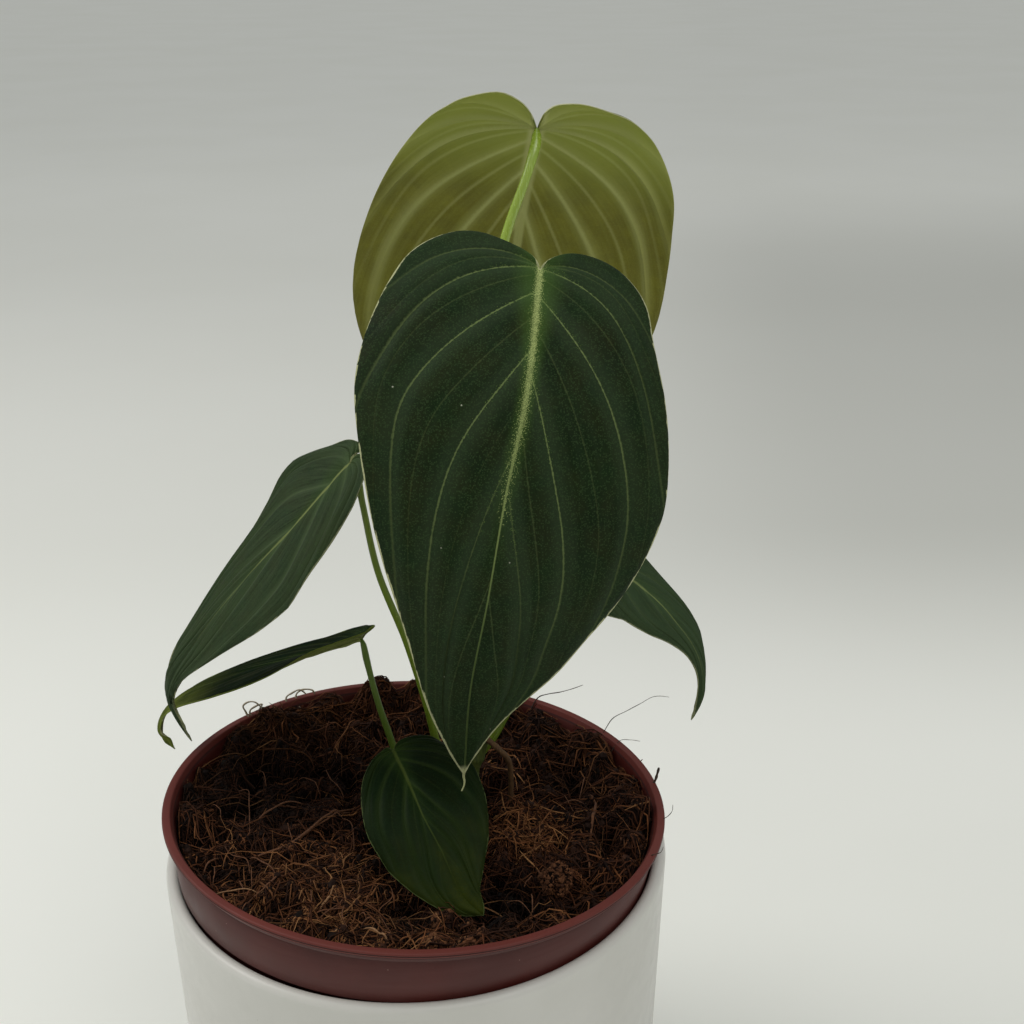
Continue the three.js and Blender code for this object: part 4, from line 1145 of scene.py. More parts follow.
UNDER = dict(
    VELVET, dark=(70, 82, 32), light=(84, 94, 38), mottle=0.15, mottled=(62, 66, 20), glow_share=0.0,
    blotch=(90, 84, 30), turned=(84, 84, 34), lobe=(92, 108, 46), band=(116, 126, 66), band_width=1.6,
    cell=(110, 118, 56), vein=(138, 146, 80), vein_soft=0.4, late_vein=0.6, halo=(120, 130, 62),
    halo_share=0.2, rib=(158, 172, 100), rib_tip=(130, 138, 68), rib_width=(0.5, 0.2), rib_solid=1.0,
    rib_end=1.0, rib_ragged=0.2, edge_width=(0.1, 0.2), rough=0.5, gloss=0.3, sheen=0.05)
SOFT = dict(
    VELVET, mottle=0.2, glow_share=0.1, vein_width=0.05, vein_soft=0.5, vein_share=0.3, late_vein=0.5,
    thin_share=0.15, halo_share=0.12, halo_width=1.0, rib_width=(0.16, 0.05), rib_soft=0.35, rib_ragged=0.15,
    rib_solid=0.9, rib_end=0.25, edge_width=(0.1, 0.14), edge_share=0.4)
LOOKS = {
    "front": (dict(VELVET, dust=0.7, tip_share=0.8), UNDER),
    "left": (dict(
        SOFT, dark=(22, 40, 20), light=(32, 50, 27), band=(72, 88, 60), band_width=1.6, band_share=0.4,
        streak=0.4, vein=(84, 100, 68), rib=(128, 138, 84), rib_tip=(86, 98, 62), rib_end=0.1), UNDER),
    "left_low": (dict(
        SOFT, dark=(6, 20, 10), light=(11, 28, 15), mottle=0.1, band=(16, 32, 22), band_share=0.2,
        streak=0.08, cells=0.1, turned=(108, 118, 50), turning=(0.5, 0.85), vein_share=0.1, gloss=0.03,
        sheen=0.0, rough=0.75, rib=(84, 98, 58), rib_tip=(66, 78, 40), edge=(110, 122, 56),
        edge_width=(0.3, 0.6), edge_share=0.7), UNDER),
    "right": (dict(
        SOFT, dark=(28, 46, 22), light=(38, 56, 30), band=(60, 78, 54), streak=0.35, vein=(92, 108, 70),
        rib=(128, 140, 88), rib_tip=(112, 124, 78), rib_end=0.6), UNDER),
    "small": (dict(
        SOFT, dark=(4, 17, 2), light=(8, 24, 4), blotch=(24, 28, 6), turned=(52, 60, 10), turning=(0.3, 1.0),
        lobe=(14, 32, 8), vein=(52, 66, 30), vein_share=0.45, vein_soft=0.7, band=(16, 33, 13),
        cell=(24, 42, 18), rib=(80, 92, 42), rib_tip=(60, 72, 32), rib_width=(0.14, 0.08), rib_soft=0.5,
        rib_share=0.7, halo_share=0.05, edge=(96, 108, 66), edge_share=0.6, dust=0.6, rough=0.5, gloss=0.06,
        sheen=0.0), UNDER),
    # The young back leaf shows its underside: partly its own pale olive, partly painted light that shines
    # through the thin blade from behind.
    "back": (dict(
        VELVET, dark=(60, 64, 22), light=(76, 78, 28), turned=(84, 70, 28), band=(104, 106, 44),
        cell=(104, 102, 40), halo=(124, 132, 56), rib=(150, 156, 90)), dict(
        UNDER, dark=(110, 108, 22), light=(128, 126, 36), turned=(84, 80, 12), turning=(0.2, 0.8),
        lobe=(150, 162, 64), lobe_share=0.75, lobe_reach=0.22, band=(164, 170, 92), band_width=3.0,
        band_share=0.38, streak=0.16, cell=(150, 152, 66), cells=0.15, vein=(190, 194, 124), vein_width=0.06,
        vein_soft=0.85, vein_share=0.52, thin_share=0.34, thin_soft=0.7, halo_width=3.0, rib=(178, 182, 112),
        rib_tip=(150, 154, 76), rib_width=(1.2, 0.4), rib_soft=1.2, edge=(140, 144, 66), edge_share=0.4)),
}

# %% [markdown]
# The main veins of each half are shares of the fan, counted from the seat. The halves differ a little,
# because the veins of a real leaf don't leave the midrib in pairs.
# The large leaves get a fine mesh, the small ones a coarser one of the same make.

# %% Building the six blades
MAIN_VEINS = {
    "front": ((0.243, 0.404, 0.509, 0.61, 0.72), (0.276, 0.42, 0.521, 0.64, 0.75)),
    "back": ((0.15, 0.26, 0.37, 0.46, 0.55, 0.65, 0.76), (0.17, 0.27, 0.38, 0.48, 0.57, 0.66, 0.77)),
}
COMMON_VEINS = ((0.18, 0.3, 0.42, 0.53, 0.65, 0.77), (0.2, 0.31, 0.44, 0.54, 0.67, 0.78))


blades = {}
for leaf_name, leaf in LEAVES.items():
    veins = MAIN_VEINS.get(leaf_name, COMMON_VEINS)
    large = leaf_name in MAIN_VEINS
    blade = sew_blade(f"blade_{leaf_name}", leaf, veins, 110 if large else 66, 36 if large else 22)
    for side_name, look in zip(("upper", "under"), LOOKS[leaf_name]):
        blade.data.materials.append(leaf_finish(f"leaf_{leaf_name}_{side_name}", look))
    report(blade)
    blades[leaf_name] = blade

# %% [markdown]
# ## Petioles, stem and aerial root
# Stalks are round bars along a path, so a second geometry tree makes them all. The path goes in
# as a row of points that carry their own thickness. It becomes a curve, and a round section runs along it.
# A petiole swells at its foot, where it clasps the stem, and again just below the blade.

# %% The stalk tree
stalk_tree, w, given, out = new_group(
    "Round Stalk", "GeometryNodeTree",
    {"Path": ("geometry",), "Sides": ("int", 16), "Finish": ("material",)}, {"Stalk": "geometry"})
path = w.add("GeometryNodeMeshToCurve", {"Mesh": given["Path"]}).outputs[0]
section = w.add("GeometryNodeCurvePrimitiveCircle", {"Resolution": given["Sides"], "Radius": 1.0}).outputs[0]
thick = w.add("GeometryNodeInputNamedAttribute", {"Name": "thick"}, data_type="FLOAT").outputs[0]
bar = w.add("GeometryNodeCurveToMesh", {"Curve": path, "Profile Curve": section, "Scale": thick,
                                        "Fill Caps": True}).outputs[0]
smooth = w.add("GeometryNodeSetShadeSmooth", {"Geometry": bar}).outputs[0]
end_tree(w, smooth, given, out["Stalk"])


def stalk(name, lines, finish, sides=16):
    """Lines are pairs of points and radii, in millimetres. They become one piece."""
    points, edges, radii = [], [], []
    for line, line_radii in lines:
        start = len(points)
        points += list(line)
        radii += list(np.asarray(line_radii) * MM)
        edges += [(i, i + 1) for i in range(start, len(points) - 1)]
    source = make_mesh(name + "_path", points, [], edges)
    set_values(source.data, "thick", radii)
    return grow(source, stalk_tree, name, Sides=sides, Finish=finish)


# %% [markdown]
# Petioles are lime green to olive with fine lengthwise streaks and small pale dots, and a little glossy.
# The streaks come from noise that is stretched along the stalk.

# %% Stalk finishes
def stalk_finish(name, dark, light, dots, roughness, streak_length=14.0, gloss=0.4):
    green = Finish(name, Specular_IOR_Level=gloss)
    stretched = green.vector("MULTIPLY", green.place, (2.4, 2.4, 2.4 / streak_length))
    streaks = green.use(patches_group, place=stretched, Size=1.0, Sharpness=0.1)
    base = green.mix(streaks, colour(*dark), colour(*light))
    tone = green.use(patches_group, Size=11.0, Sharpness=0.1)
    base = green.over(base, dark, green.times(tone, 0.35))
    pale = green.use(specks_group, Size=0.7, Share=0.15, Dot=0.3)
    base = green.over(base, dots, green.times(pale, 0.4))
    grain = green.use(grain_group, place=stretched, Size=0.7, Coarse_Size=3.0, Coarse_Share=0.5)
    green.bump(grain, 0.12, 0.08)
    return green.done(base, green.plus(roughness, green.times(streaks, 0.1)))


def petiole_line(leaf):
    """The path of a petiole, from the stem to inside the blade's rib, with its radii."""
    spine = Spine(leaf)
    seat = pick(spine.line, spine.places, 0.0)
    down = -pick(spine.up, spine.places, 0.0)
    neck = leaf.get("neck", 3.9)
    below_seat = [seat + down * depth for depth in (neck, 0.36 * neck, 0.3)]
    path = smooth_line([*leaf["petiole"], *below_seat], 14)
    run = run_along(path)
    low, high = leaf["petiole_radii"]
    radii = between_ends((low, high), run / run[-1])
    radii += 0.35 * low * np.exp(-run / 4.0)
    to_blade = run[-1] - run
    radii += 0.22 * high * np.exp(-((to_blade - 5.0) / 3.5) ** 2)
    return path, radii * np.clip(0.55 + to_blade / 4.0, 0.55, 1.0)


petioles = {}
PETIOLE_TONES = {
    "back": ((146, 172, 56), (160, 186, 70), (214, 222, 150)),
    "front": ((92, 112, 24), (114, 136, 36), (170, 180, 96)),
    "left": ((104, 126, 30), (120, 144, 42), (164, 178, 92)),
    "left_low": ((88, 112, 36), (102, 128, 46), (146, 158, 84)),
    "right": ((82, 102, 20), (104, 126, 32), (150, 164, 84)),
    "small": ((82, 102, 20), (104, 126, 32), (150, 164, 84)),
}
for leaf_name, leaf in LEAVES.items():
    gloss, roughness = (1.0, 0.2) if leaf_name == "back" else (0.4, 0.38)
    green = stalk_finish(f"petiole_{leaf_name}_green", *PETIOLE_TONES[leaf_name], roughness, gloss=gloss)
    petioles[leaf_name] = stalk(f"stalk_{leaf_name}", [petiole_line(leaf)], green)
    report(petioles[leaf_name])

# %% [markdown]
# The front leaf ends in a drip tip, a cream thread of a few millimetres that leads rain off the blade.
# It is a short stalk that gets thinner and hooks a little to the left.

# %% Drip tip
DRIP_TIP = [(12.6, -24.5, 131.6), (12.42, -23.7, 129.4), (12.55, -23.5, 128), (12.4, -23.5, 126.8),
            (11.9, -23.6, 125.6)]
DRIP_TIP_RADII = (0.36, 0.14)

tip_line = smooth_line(DRIP_TIP, 8)
tip_radii = between_ends(DRIP_TIP_RADII, share_along(tip_line))
tip_cream = stalk_finish("drip_tip_cream", (158, 162, 112), (190, 192, 148), (206, 206, 170), 0.5, 6.0)
drip_tip = stalk("drip_tip_front", [(tip_line, tip_radii)], tip_cream, sides=10)
report(drip_tip)

# %% [markdown]
# The stem is short, thicker than the petioles and ringed where each petiole leaves it.
# One aerial root leaves it at the right and dips into the soil, as these climbers do.

# %% Stem and aerial root
STEM_PATH = [(10, 8, 88), (10.6, 8, 103), (12.3, 8, 111), (14.6, 8, 118), (16.6, 8.4, 125), (17.6, 9, 131)]
STEM_RADII = (3.2, 2.3)
STEM_NODES = (105.5, 110, 115, 121, 127)
ROOT_PATH = [(16.6, 6.2, 121), (20, 4.6, 118.5), (22.2, 5.4, 115), (22.8, 6.6, 108), (22.4, 7.4, 98)]
ROOT_RADII = (0.75, 0.6)

stem_line = smooth_line(STEM_PATH, 16)
stem_share = share_along(stem_line)
stem_radii = between_ends(STEM_RADII, stem_share)
for node_height in STEM_NODES:
    stem_radii += 0.3 * np.exp(-((stem_line[:, 2] - node_height) / 0.9) ** 2)
stem_radii *= np.clip((1 - stem_share) * 14 + 0.5, 0.5, 1)
stem_green = stalk_finish("stem_green", (66, 78, 34), (92, 104, 46), (128, 118, 74), 0.5, 6.0)
stem = stalk("stem_ringed", [(stem_line, stem_radii)], stem_green, sides=24)
report(stem)

root_line = smooth_line(ROOT_PATH, 16)
root_share = share_along(root_line)
root_radii = between_ends(ROOT_RADII, root_share) * (1 + 0.08 * np.sin(root_share * 60))
root_brown = stalk_finish("root_brown", (70, 48, 28), (104, 76, 44), (140, 112, 76), 0.7, 5.0)
aerial_root = stalk("root_of_air", [(root_line, root_radii)], root_brown, sides=12)
report(aerial_root)

# %% [markdown]
# ## Soil of coir
# The pot is filled with coir, the fibre of coconut husks: a dark crumbly mass with a web of
# red-brown strands on top. The bed itself is a closed body with a rough top. It is made in the
# frame of the leaning pot, where the axis of the pot is the Z axis, and turned over with the pot at the end.
# Its top is a sum of long waves, which give the lie of the ground, and of many short ones for the lumps.

# %% The lie of the ground
SOIL_LEVEL = -6.2
SOIL_WAVES = [(0.75, 31, 20, 0.6), (0.65, 23, 95, 2.1), (0.55, 17, 150, 4.0), (0.45, 13, 62, 1.2)]
WALL_RISE = 3.4
SOIL_HEAPS = [(54, -8, 2.4, 15), (24, -20, 1.6, 11), (-48, 27, 1.6, 6), (-40, 37, 1.6, 6)]
MOUNDS = [(26.7, -7.2, 2.6, 8), (-22.4, -29.7, 1.8, 12), (-29.8, -9.8, 2.2, 4), (-22.7, -2.2, 2.2, 4),
          (-15, 5.7, 2.2, 4.5), (-18, 36, 2, 7), (-34, 31, 1.8, 6), (-49, 27, 1.6, 5), (-26, 51, 3.4, 4.2),
          (-14.5, 53, 3.4, 4.2), (-4, 53.5, 3.2, 4.2), (30.5, 33, 2, 7), (43, 31, 2.2, 6)]
HOLLOWS = [(38, 17, 5.5, 7), (23, -31, 5, 7), (-41, 19, 5, 5.5), (-31, -2, 4.5, 6.5), (-46, 0, 3.5, 6),
           (-21, 19, 4.5, 6.5), (-33, 15, 3, 6), (-24, 44, 4.5, 4), (-17, 46, 4.5, 4), (-10, 47.5, 4, 4),
           (46, -10, 4, 5.5), (-38, -27, 3, 5), (-27, -25, 2, 4), (0, -40, 3.5, 5), (21, -40, 3, 5),
           (12, -22, 2.5, 7)]
# Spots of painted shade in the upright pot: place, spread and how dark.
SHADE_SPOTS = [(-46, 2, 13, 0.5), (-41, 19, 8, 0.6), (-21, 19, 8, 0.6), (-31, -2, 8, 0.4), (-38, -27, 6, 0.35),
         (-57, 0, 6, 0.5), (0, -40, 5, 0.6), (38, 17, 8, 0.6), (23, -32, 8, 0.75), (20, -41, 5, 0.6),
         (46, -10, 7, 0.5), (-5, 40, 14, 0.4), (30, 36, 12, 0.4), (-16, -32, 24, 0.35),
         (-40, 10, 20, 0.4), (46, 14, 14, 0.3)]
LUMPS = 90
LUMP_SEED = 5

lump_random = np.random.default_rng(LUMP_SEED)
lump_length = 3.2 * 4.2 ** lump_random.random(LUMPS)
lump_heading = lump_random.random(LUMPS) * math.pi
lump_phase = lump_random.random(LUMPS) * 2 * math.pi
lump_height = 0.042 * lump_length ** 0.9


def ground(x, y):
    """Height of the soil, in the pot's frame, with all lumps."""
    z = np.full_like(x, SOIL_LEVEL)
    for height, length, heading, phase in SOIL_WAVES:
        turn = math.radians(heading)
        z = z + height * np.sin(2 * math.pi * (x * math.cos(turn) + y * math.sin(turn)) / length + phase)
    z = z + WALL_RISE * soft_step((np.hypot(x, y) - 42) / 12) * soft_step((y + 22) / 30)
    for heap_x, heap_y, height, spread in SOIL_HEAPS + MOUNDS:
        z = z + height * np.exp(-((x - heap_x) ** 2 + (y - heap_y) ** 2) / spread ** 2)
    for hollow_x, hollow_y, depth, spread in HOLLOWS:
        z = z - depth * np.exp(-((x - hollow_x) ** 2 + (y - hollow_y) ** 2) / spread ** 2)
    rough = np.zeros_like(x)
    for length, heading, phase, height in zip(lump_length, lump_heading, lump_phase, lump_height):
        along = x * math.cos(heading) + y * math.sin(heading)
        rough = rough + height * np.sin(2 * math.pi * along / length + phase)
    return z + np.where(rough < 0, rough * 1.6, rough * 0.8)


# %% [markdown]
# The bed is made of rings round the axis of the pot, closed by its sides and its bottom.
# Its top alone is also kept as a sheet, because fibres and crumbs are strewn on that.

# %% The bed of soil
BED_SIDES = 288
BED_RINGS = 92
BED_RADIUS = 56.5


def bed_points():
    angles = 2 * math.pi * np.arange(BED_SIDES) / BED_SIDES
    rings = []
    for ring in range(1, BED_RINGS + 1):
        radius = BED_RADIUS * ring / BED_RINGS
        x, y = radius * np.cos(angles), radius * np.sin(angles)
        rings.append(np.stack([x, y, ground(x, y)], -1))
    return angles, rings


def ring_faces(inside, outside):
    following = np.roll(np.arange(BED_SIDES), -1)
    return [(inside + i, outside + i, outside + j, inside + j) for i, j in enumerate(following)]


def soil_bed():
    angles, rings = bed_points()
    shoulder = -COLLAR_DEPTH + NURSERY_WALL + 0.2
    bottom = -NURSERY_DEPTH + NURSERY_WALL + 0.2
    for radius, z in ((COLLAR_BOTTOM - NURSERY_WALL - 0.2, shoulder),
                      (COLLAR_BOTTOM - COLLAR_STEP - NURSERY_WALL - 0.3, -COLLAR_DEPTH - 0.4),
                      (NURSERY_BASE - NURSERY_WALL - 0.3, bottom)):
        rings.append(np.stack([radius * np.cos(angles), radius * np.sin(angles), np.full(BED_SIDES, z)], -1))
    middle = ground(np.zeros(1), np.zeros(1))[0]
    points = np.vstack([[(0, 0, middle)], [(0, 0, bottom)], *rings])
    faces = []
    for i in range(len(rings) - 1):
        faces += ring_faces(2 + i * BED_SIDES, 2 + (i + 1) * BED_SIDES)
    last = 2 + (len(rings) - 1) * BED_SIDES
    for i in range(BED_SIDES):
        j = (i + 1) % BED_SIDES
        faces += [(0, 2 + i, 2 + j), (1, last + j, last + i)]
    piece = make_mesh("soil_bed", points, faces)
    smooth_shade(piece.data)
    return piece


def ground_sheet():
    """Only the top of the bed: the surface on which fibres and crumbs are strewn."""
    _, rings = bed_points()
    faces = []
    for i in range(BED_RINGS - 1):
        faces += ring_faces(i * BED_SIDES, (i + 1) * BED_SIDES)
    return make_mesh("ground_sheet", np.vstack(rings), faces)


# %% [markdown]
# Coir dust is nearly black when damp, with red-brown bits. Patches and specks mix those tones,
# and a strong bump breaks the surface up between the modelled lumps. The bed and all that is strewn
# on it also store a painted shade, deep in the hollows and at a few shaded spots, and darken there.

# %% Coir finishes
def soil_dust():
    soil = Finish("coir_dust", Specular_IOR_Level=0.05)
    crumbs = soil.use(patches_group, Size=1.6, Sharpness=0.4)
    base = soil.mix(crumbs, colour(9, 6, 5), colour(27, 16, 12))
    bits = soil.use(specks_group, Size=1.1, Share=0.14, Dot=0.5)
    base = soil.over(base, (62, 36, 25), soil.times(bits, 0.5))
    # Painted shade: darker deep in the hollows and at the shaded spots.
    base = soil.over(base, (5, 4, 3), soil.attribute("painted_shade"))
    soil.bump(soil.use(grain_group, Size=0.45, Coarse_Size=1.7, Coarse_Share=1.5), 0.9, 0.5)
    return soil.done(base, 0.92)


def keep_painted_shade(piece):
    """Stores a painted shade for each point: deep points get it, and so do those in the shaded spots of the
    upright pot.
    """
    places = np.zeros(3 * len(piece.data.vertices), np.float32)
    piece.data.vertices.foreach_get("co", places)
    x, y, z = places.reshape(-1, 3).T / MM
    unshaded = 1 - 0.85 * soft_step((-5.5 - z) / 5)
    for spot_x, spot_y, spread, share in SHADE_SPOTS:
        unshaded *= 1 - share * np.exp(-((x - spot_x) ** 2 + (y - spot_y) ** 2) / spread ** 2)
    set_values(piece.data, "painted_shade", 1 - unshaded)


def into_pot(piece):
    """Stores the painted shade of a piece made for the upright pot, then leans it with the pot."""
    keep_painted_shade(piece)
    piece.data.transform(pot_matrix)
    report(piece)
    return piece


def strand_finish(name, tones):
    """Each fibre keeps one number from 0 to 1, and a ramp of tones gives it its colour."""
    strands = Finish(name, Specular_IOR_Level=0.12)
    ramp = strands.add("ShaderNodeValToRGB", {0: strands.attribute("strand")})
    ramp.color_ramp.interpolation = "LINEAR"
    ramp.color_ramp.elements[0].color = colour(*tones[0])
    ramp.color_ramp.elements[1].color = colour(*tones[-1])
    for i, tone in enumerate(tones[1:-1], start=1):
        ramp.color_ramp.elements.new(i / (len(tones) - 1)).color = colour(*tone)
    mottle = strands.use(patches_group, Size=1.3, Sharpness=0.3)
    base = strands.mix(strands.times(mottle, 0.35), ramp.outputs[0], colour(30, 16, 11))
    # Painted shade: darker deep in the hollows and at the shaded spots.
    base = strands.over(base, (8, 5, 4), strands.attribute("painted_shade"))
    return strands.done(base, strands.plus(0.7, strands.times(mottle, 0.2)))


bed = soil_bed()
bed.data.materials.append(soil_dust())
into_pot(bed)

# %% [markdown]
# ## Coir fibres
# Thousands of fibres lie on the soil, so they come from a geometry tree: points are strewn on the ground,
# each one gets a short straight line with a random turn and length, a slow noise bends every line
# its own way, and a ray sent down from above keeps the line just over the ground and inside the pot.
# A three-sided section is enough for a strand of a quarter millimetre.

# %% The fibre tree
fibre_tree, w, given, out = new_group(
    "Strewn Fibres", "GeometryNodeTree",
    {"Ground": ("geometry",), "Density": ("float", 1e5), "Seed": ("int", 1), "Shortest": ("float", 0.004),
     "Longest": ("float", 0.02), "Thickness": ("float", 0.0002), "Lift": ("float", 0.002),
     "Wander": ("float", 0.004), "Wander Size": ("float", 0.012), "Steepness": ("float", 0.3),
     "Pot Radius": ("float", 0.0562), "Bends": ("int", 8), "Patch": ("vector", (0, 0, 0)),
     "Patch Size": ("float", 1.0), "In Hollows": ("float", 0.15), "Finish": ("material",)},
    {"Fibres": "geometry"})


def chance(low, high, seed):
    """A random value for each point, between low and high."""
    return w.add("FunctionNodeRandomValue", {2: low, 3: high, 8: seed}, data_type="FLOAT").outputs[1]


def next_seed(step):
    return w.plus(given["Seed"], float(step))


def strewn_points():
    """Points on the ground: fewer in its hollows, and none outside the patch."""
    spot = w.position()
    height = w.parts(spot)[2]
    flat_spot = w.vector("MULTIPLY", w.vector("SUBTRACT", spot, given["Patch"]), (1, 1, 0))
    away = w.add("ShaderNodeVectorMath", {0: flat_spot}, operation="LENGTH").outputs["Value"]
    inside = w.ease(away, w.times(given["Patch Size"], 0.5), given["Patch Size"], 1.0, 0.0)
    by_height = w.ease(height, -0.0105, -0.0055, given["In Hollows"], 1.0)
    density = w.times(w.times(given["Density"], inside), by_height)
    inputs = {0: given["Ground"], 4: density, 6: given["Seed"]}
    return w.add("GeometryNodeDistributePointsOnFaces", inputs).outputs[0]


def strew(shape, angles, scale, mark_step):
    """Turned copies of a shape, all over the ground. Each keeps a random number of its own, "strand"."""
    turn = w.add("FunctionNodeEulerToRotation", {0: w.combine(*angles)}).outputs[0]
    copies = w.add("GeometryNodeInstanceOnPoints", {"Points": strewn_points(), "Instance": shape,
                                                    "Rotation": turn, "Scale": w.combine(*scale)}).outputs[0]
    number = chance(0.0, 1.0, next_seed(mark_step))
    marked = w.add("GeometryNodeStoreNamedAttribute", {"Geometry": copies, "Name": "strand", "Value": number},
                   data_type="FLOAT", domain="INSTANCE").outputs[0]
    return w.add("GeometryNodeRealizeInstances", {0: marked}).outputs[0]


line = w.add("GeometryNodeCurvePrimitiveLine", {"Start": (-0.5, 0, 0), "End": (0.5, 0, 0)}).outputs[0]
stepped = w.add("GeometryNodeResampleCurve", {"Curve": line, "Count": given["Bends"]}).outputs[0]
steep = chance(w.times(given["Steepness"], -1.0), given["Steepness"], next_seed(1))
heading = chance(0.0, 2 * math.pi, next_seed(2))
share = w.math("POWER", chance(0.0, 1.0, next_seed(3)), 2.2)
length = w.plus(given["Shortest"], w.times(share, w.minus(given["Longest"], given["Shortest"])))
fibres_there = strew(stepped, (0.0, steep, heading), (length, 1.0, 1.0), 4)

# %% [markdown]
# A straight fibre would look like a needle. Noise bends each one its own way, and a ray from above
# tells how high the ground is below it, so that it neither sinks in nor floats away.

# %% Bending and laying the fibres
strand = w.add("GeometryNodeInputNamedAttribute", {"Name": "strand"}, data_type="FLOAT").outputs[0]
position = w.position()
own = w.vector("ADD", position, w.combine(w.times(strand, 3.7), w.times(strand, 9.1), strand))
drift = w.noise(own, w.math("DIVIDE", 1.0, given["Wander Size"]), detail=1.0).outputs["Color"]
drift = w.vector("SUBTRACT", drift, (0.5, 0.5, 0.5))
drift = w.vector("MULTIPLY", w.scaled(drift, given["Wander"]), (4.0, 4.0, 2.0))
bent = w.add("GeometryNodeSetPosition", {"Geometry": fibres_there, "Offset": drift}).outputs[0]

spot = w.parts(w.position())
from_axis = w.math("SQRT", w.plus(w.times(spot[0], spot[0]), w.times(spot[1], spot[1])))
inwards = w.math("MINIMUM", 1.0, w.math("DIVIDE", given["Pot Radius"], w.math("MAXIMUM", from_axis, 1e-5)))
kept_x, kept_y = w.times(spot[0], inwards), w.times(spot[1], inwards)
above = w.combine(w.times(kept_x, 0.997), w.times(kept_y, 0.997), 0.05)
ray = w.add("GeometryNodeRaycast", {"Target Geometry": given["Ground"], "Source Position": above,
                                    "Ray Direction": (0, 0, -1), "Ray Length": 0.2})
ground_height = w.parts(ray.outputs["Hit Position"])[2]
lowest = w.plus(ground_height, w.times(given["Thickness"], 0.4))
highest = w.plus(ground_height, w.times(given["Lift"], w.plus(0.15, strand)))
kept_z = w.math("MINIMUM", w.math("MAXIMUM", spot[2], lowest), highest)
kept = w.combine(kept_x, kept_y, kept_z)
laid_down = w.add("GeometryNodeSetPosition", {"Geometry": bent, "Position": kept}).outputs[0]

# %% [markdown]
# A coir fibre is thickest in the middle, and no two are equally thick. The section that follows
# each line thins towards both ends, and its size hangs on the number of the strand.

# %% Giving the fibres a body
middle = w.math("ABSOLUTE", w.minus(w.add("GeometryNodeSplineParameter").outputs[0], 0.5))
taper = w.ease(middle, 0.2, 0.5, 1.0, 0.35)
uneven = w.plus(0.55, w.math("FRACT", w.times(strand, 17.3)))
strand_radius = w.times(w.times(given["Thickness"], taper), uneven)
three_sides = w.add("GeometryNodeCurvePrimitiveCircle", {"Resolution": 3, "Radius": 1.0}).outputs[0]
strands = w.add("GeometryNodeCurveToMesh", {"Curve": laid_down, "Profile Curve": three_sides,
                                            "Scale": strand_radius, "Fill Caps": True}).outputs[0]
smooth = w.add("GeometryNodeSetShadeSmooth", {"Geometry": strands}).outputs[0]
end_tree(w, smooth, given, out["Fibres"])

# %% [markdown]
# The same tree runs eight times: a dark mat, red-brown strands and long straws all over, then a tuft,
# a tangle, bark and two felts of short curled fibre, each in a patch of its own.

# %% The layers of fibres
BROWN_TONES = ((14, 8, 6), (27, 15, 11), (46, 26, 17), (62, 36, 23), (34, 19, 13))
RED_TONES = ((30, 17, 11), (54, 31, 19), (94, 55, 33), (68, 39, 24), (124, 78, 47))
STRAW_TONES = ((84, 50, 30), (122, 77, 47), (156, 106, 66), (104, 63, 39), (176, 128, 84))
FELT_TONES = ((44, 27, 16), (78, 48, 28), (60, 37, 22), (100, 64, 38))


def fibres(name, finish, density, seed, length, thick, lift, wander, steep, bends, hollows=0.15, patch=None):
    """One layer. Sizes are in millimetres, the density is for a square metre."""
    inputs = dict(Density=density, Seed=seed, Shortest=length[0] * MM, Longest=length[1] * MM,
                  Thickness=thick * MM, Lift=lift * MM, Wander=wander[0] * MM, Wander_Size=wander[1] * MM,
                  Steepness=steep, Bends=bends, In_Hollows=hollows)
    if patch:
        inputs.update(Patch=(patch[0] * MM, patch[1] * MM, 0.0), Patch_Size=patch[2] * MM)
    return into_pot(grow(ground_sheet(), fibre_tree, name, Finish=finish, **inputs))


brown_strands = strand_finish("coir_brown", BROWN_TONES)
red_strands = strand_finish("coir_red", RED_TONES)
straw_strands = strand_finish("coir_straw", STRAW_TONES)
felt_strands = strand_finish("coir_felt", FELT_TONES)
felt = dict(length=(3, 12), thick=0.14, lift=4.5, wander=(3, 5), steep=0.6, bends=7)
fibre_pieces = [
    fibres("coir_mat", brown_strands, density=2.4e5, seed=11, length=(4, 18), thick=0.2, lift=2.6,
           wander=(2.2, 7), steep=0.35, bends=8, hollows=0.25),
    fibres("coir_strands", red_strands, density=1.8e5, seed=23, length=(6, 30), thick=0.18, lift=4,
           wander=(3.4, 9), steep=0.3, bends=11, hollows=0.1),
    fibres("coir_straws", straw_strands, density=2.6e4, seed=37, length=(10, 45), thick=0.16, lift=5.5,
           wander=(4, 20), steep=0.22, bends=14, hollows=0.1),
    fibres("coir_tuft", straw_strands, density=1.1e6, seed=41, length=(3, 13), thick=0.17, lift=6.5,
           wander=(1.2, 9), steep=1.0, bends=5, patch=(26.7, -7.2, 12)),
    fibres("coir_tangle", straw_strands, density=2.6e5, seed=43, length=(4, 16), thick=0.18, lift=4,
           wander=(3, 6), steep=0.4, bends=9, patch=(-18, -38, 30)),
    fibres("coir_bark", red_strands, density=1.3e6, seed=47, length=(2, 9), thick=0.22, lift=3,
           wander=(2, 4), steep=0.5, bends=6, patch=(-15, 54.5, 19)),
    fibres("coir_felt_left", felt_strands, density=9e5, seed=59, patch=(-46, 30, 16), **felt),
    fibres("coir_felt_back", felt_strands, density=7e5, seed=61, patch=(-26, 31, 14), **felt),
]
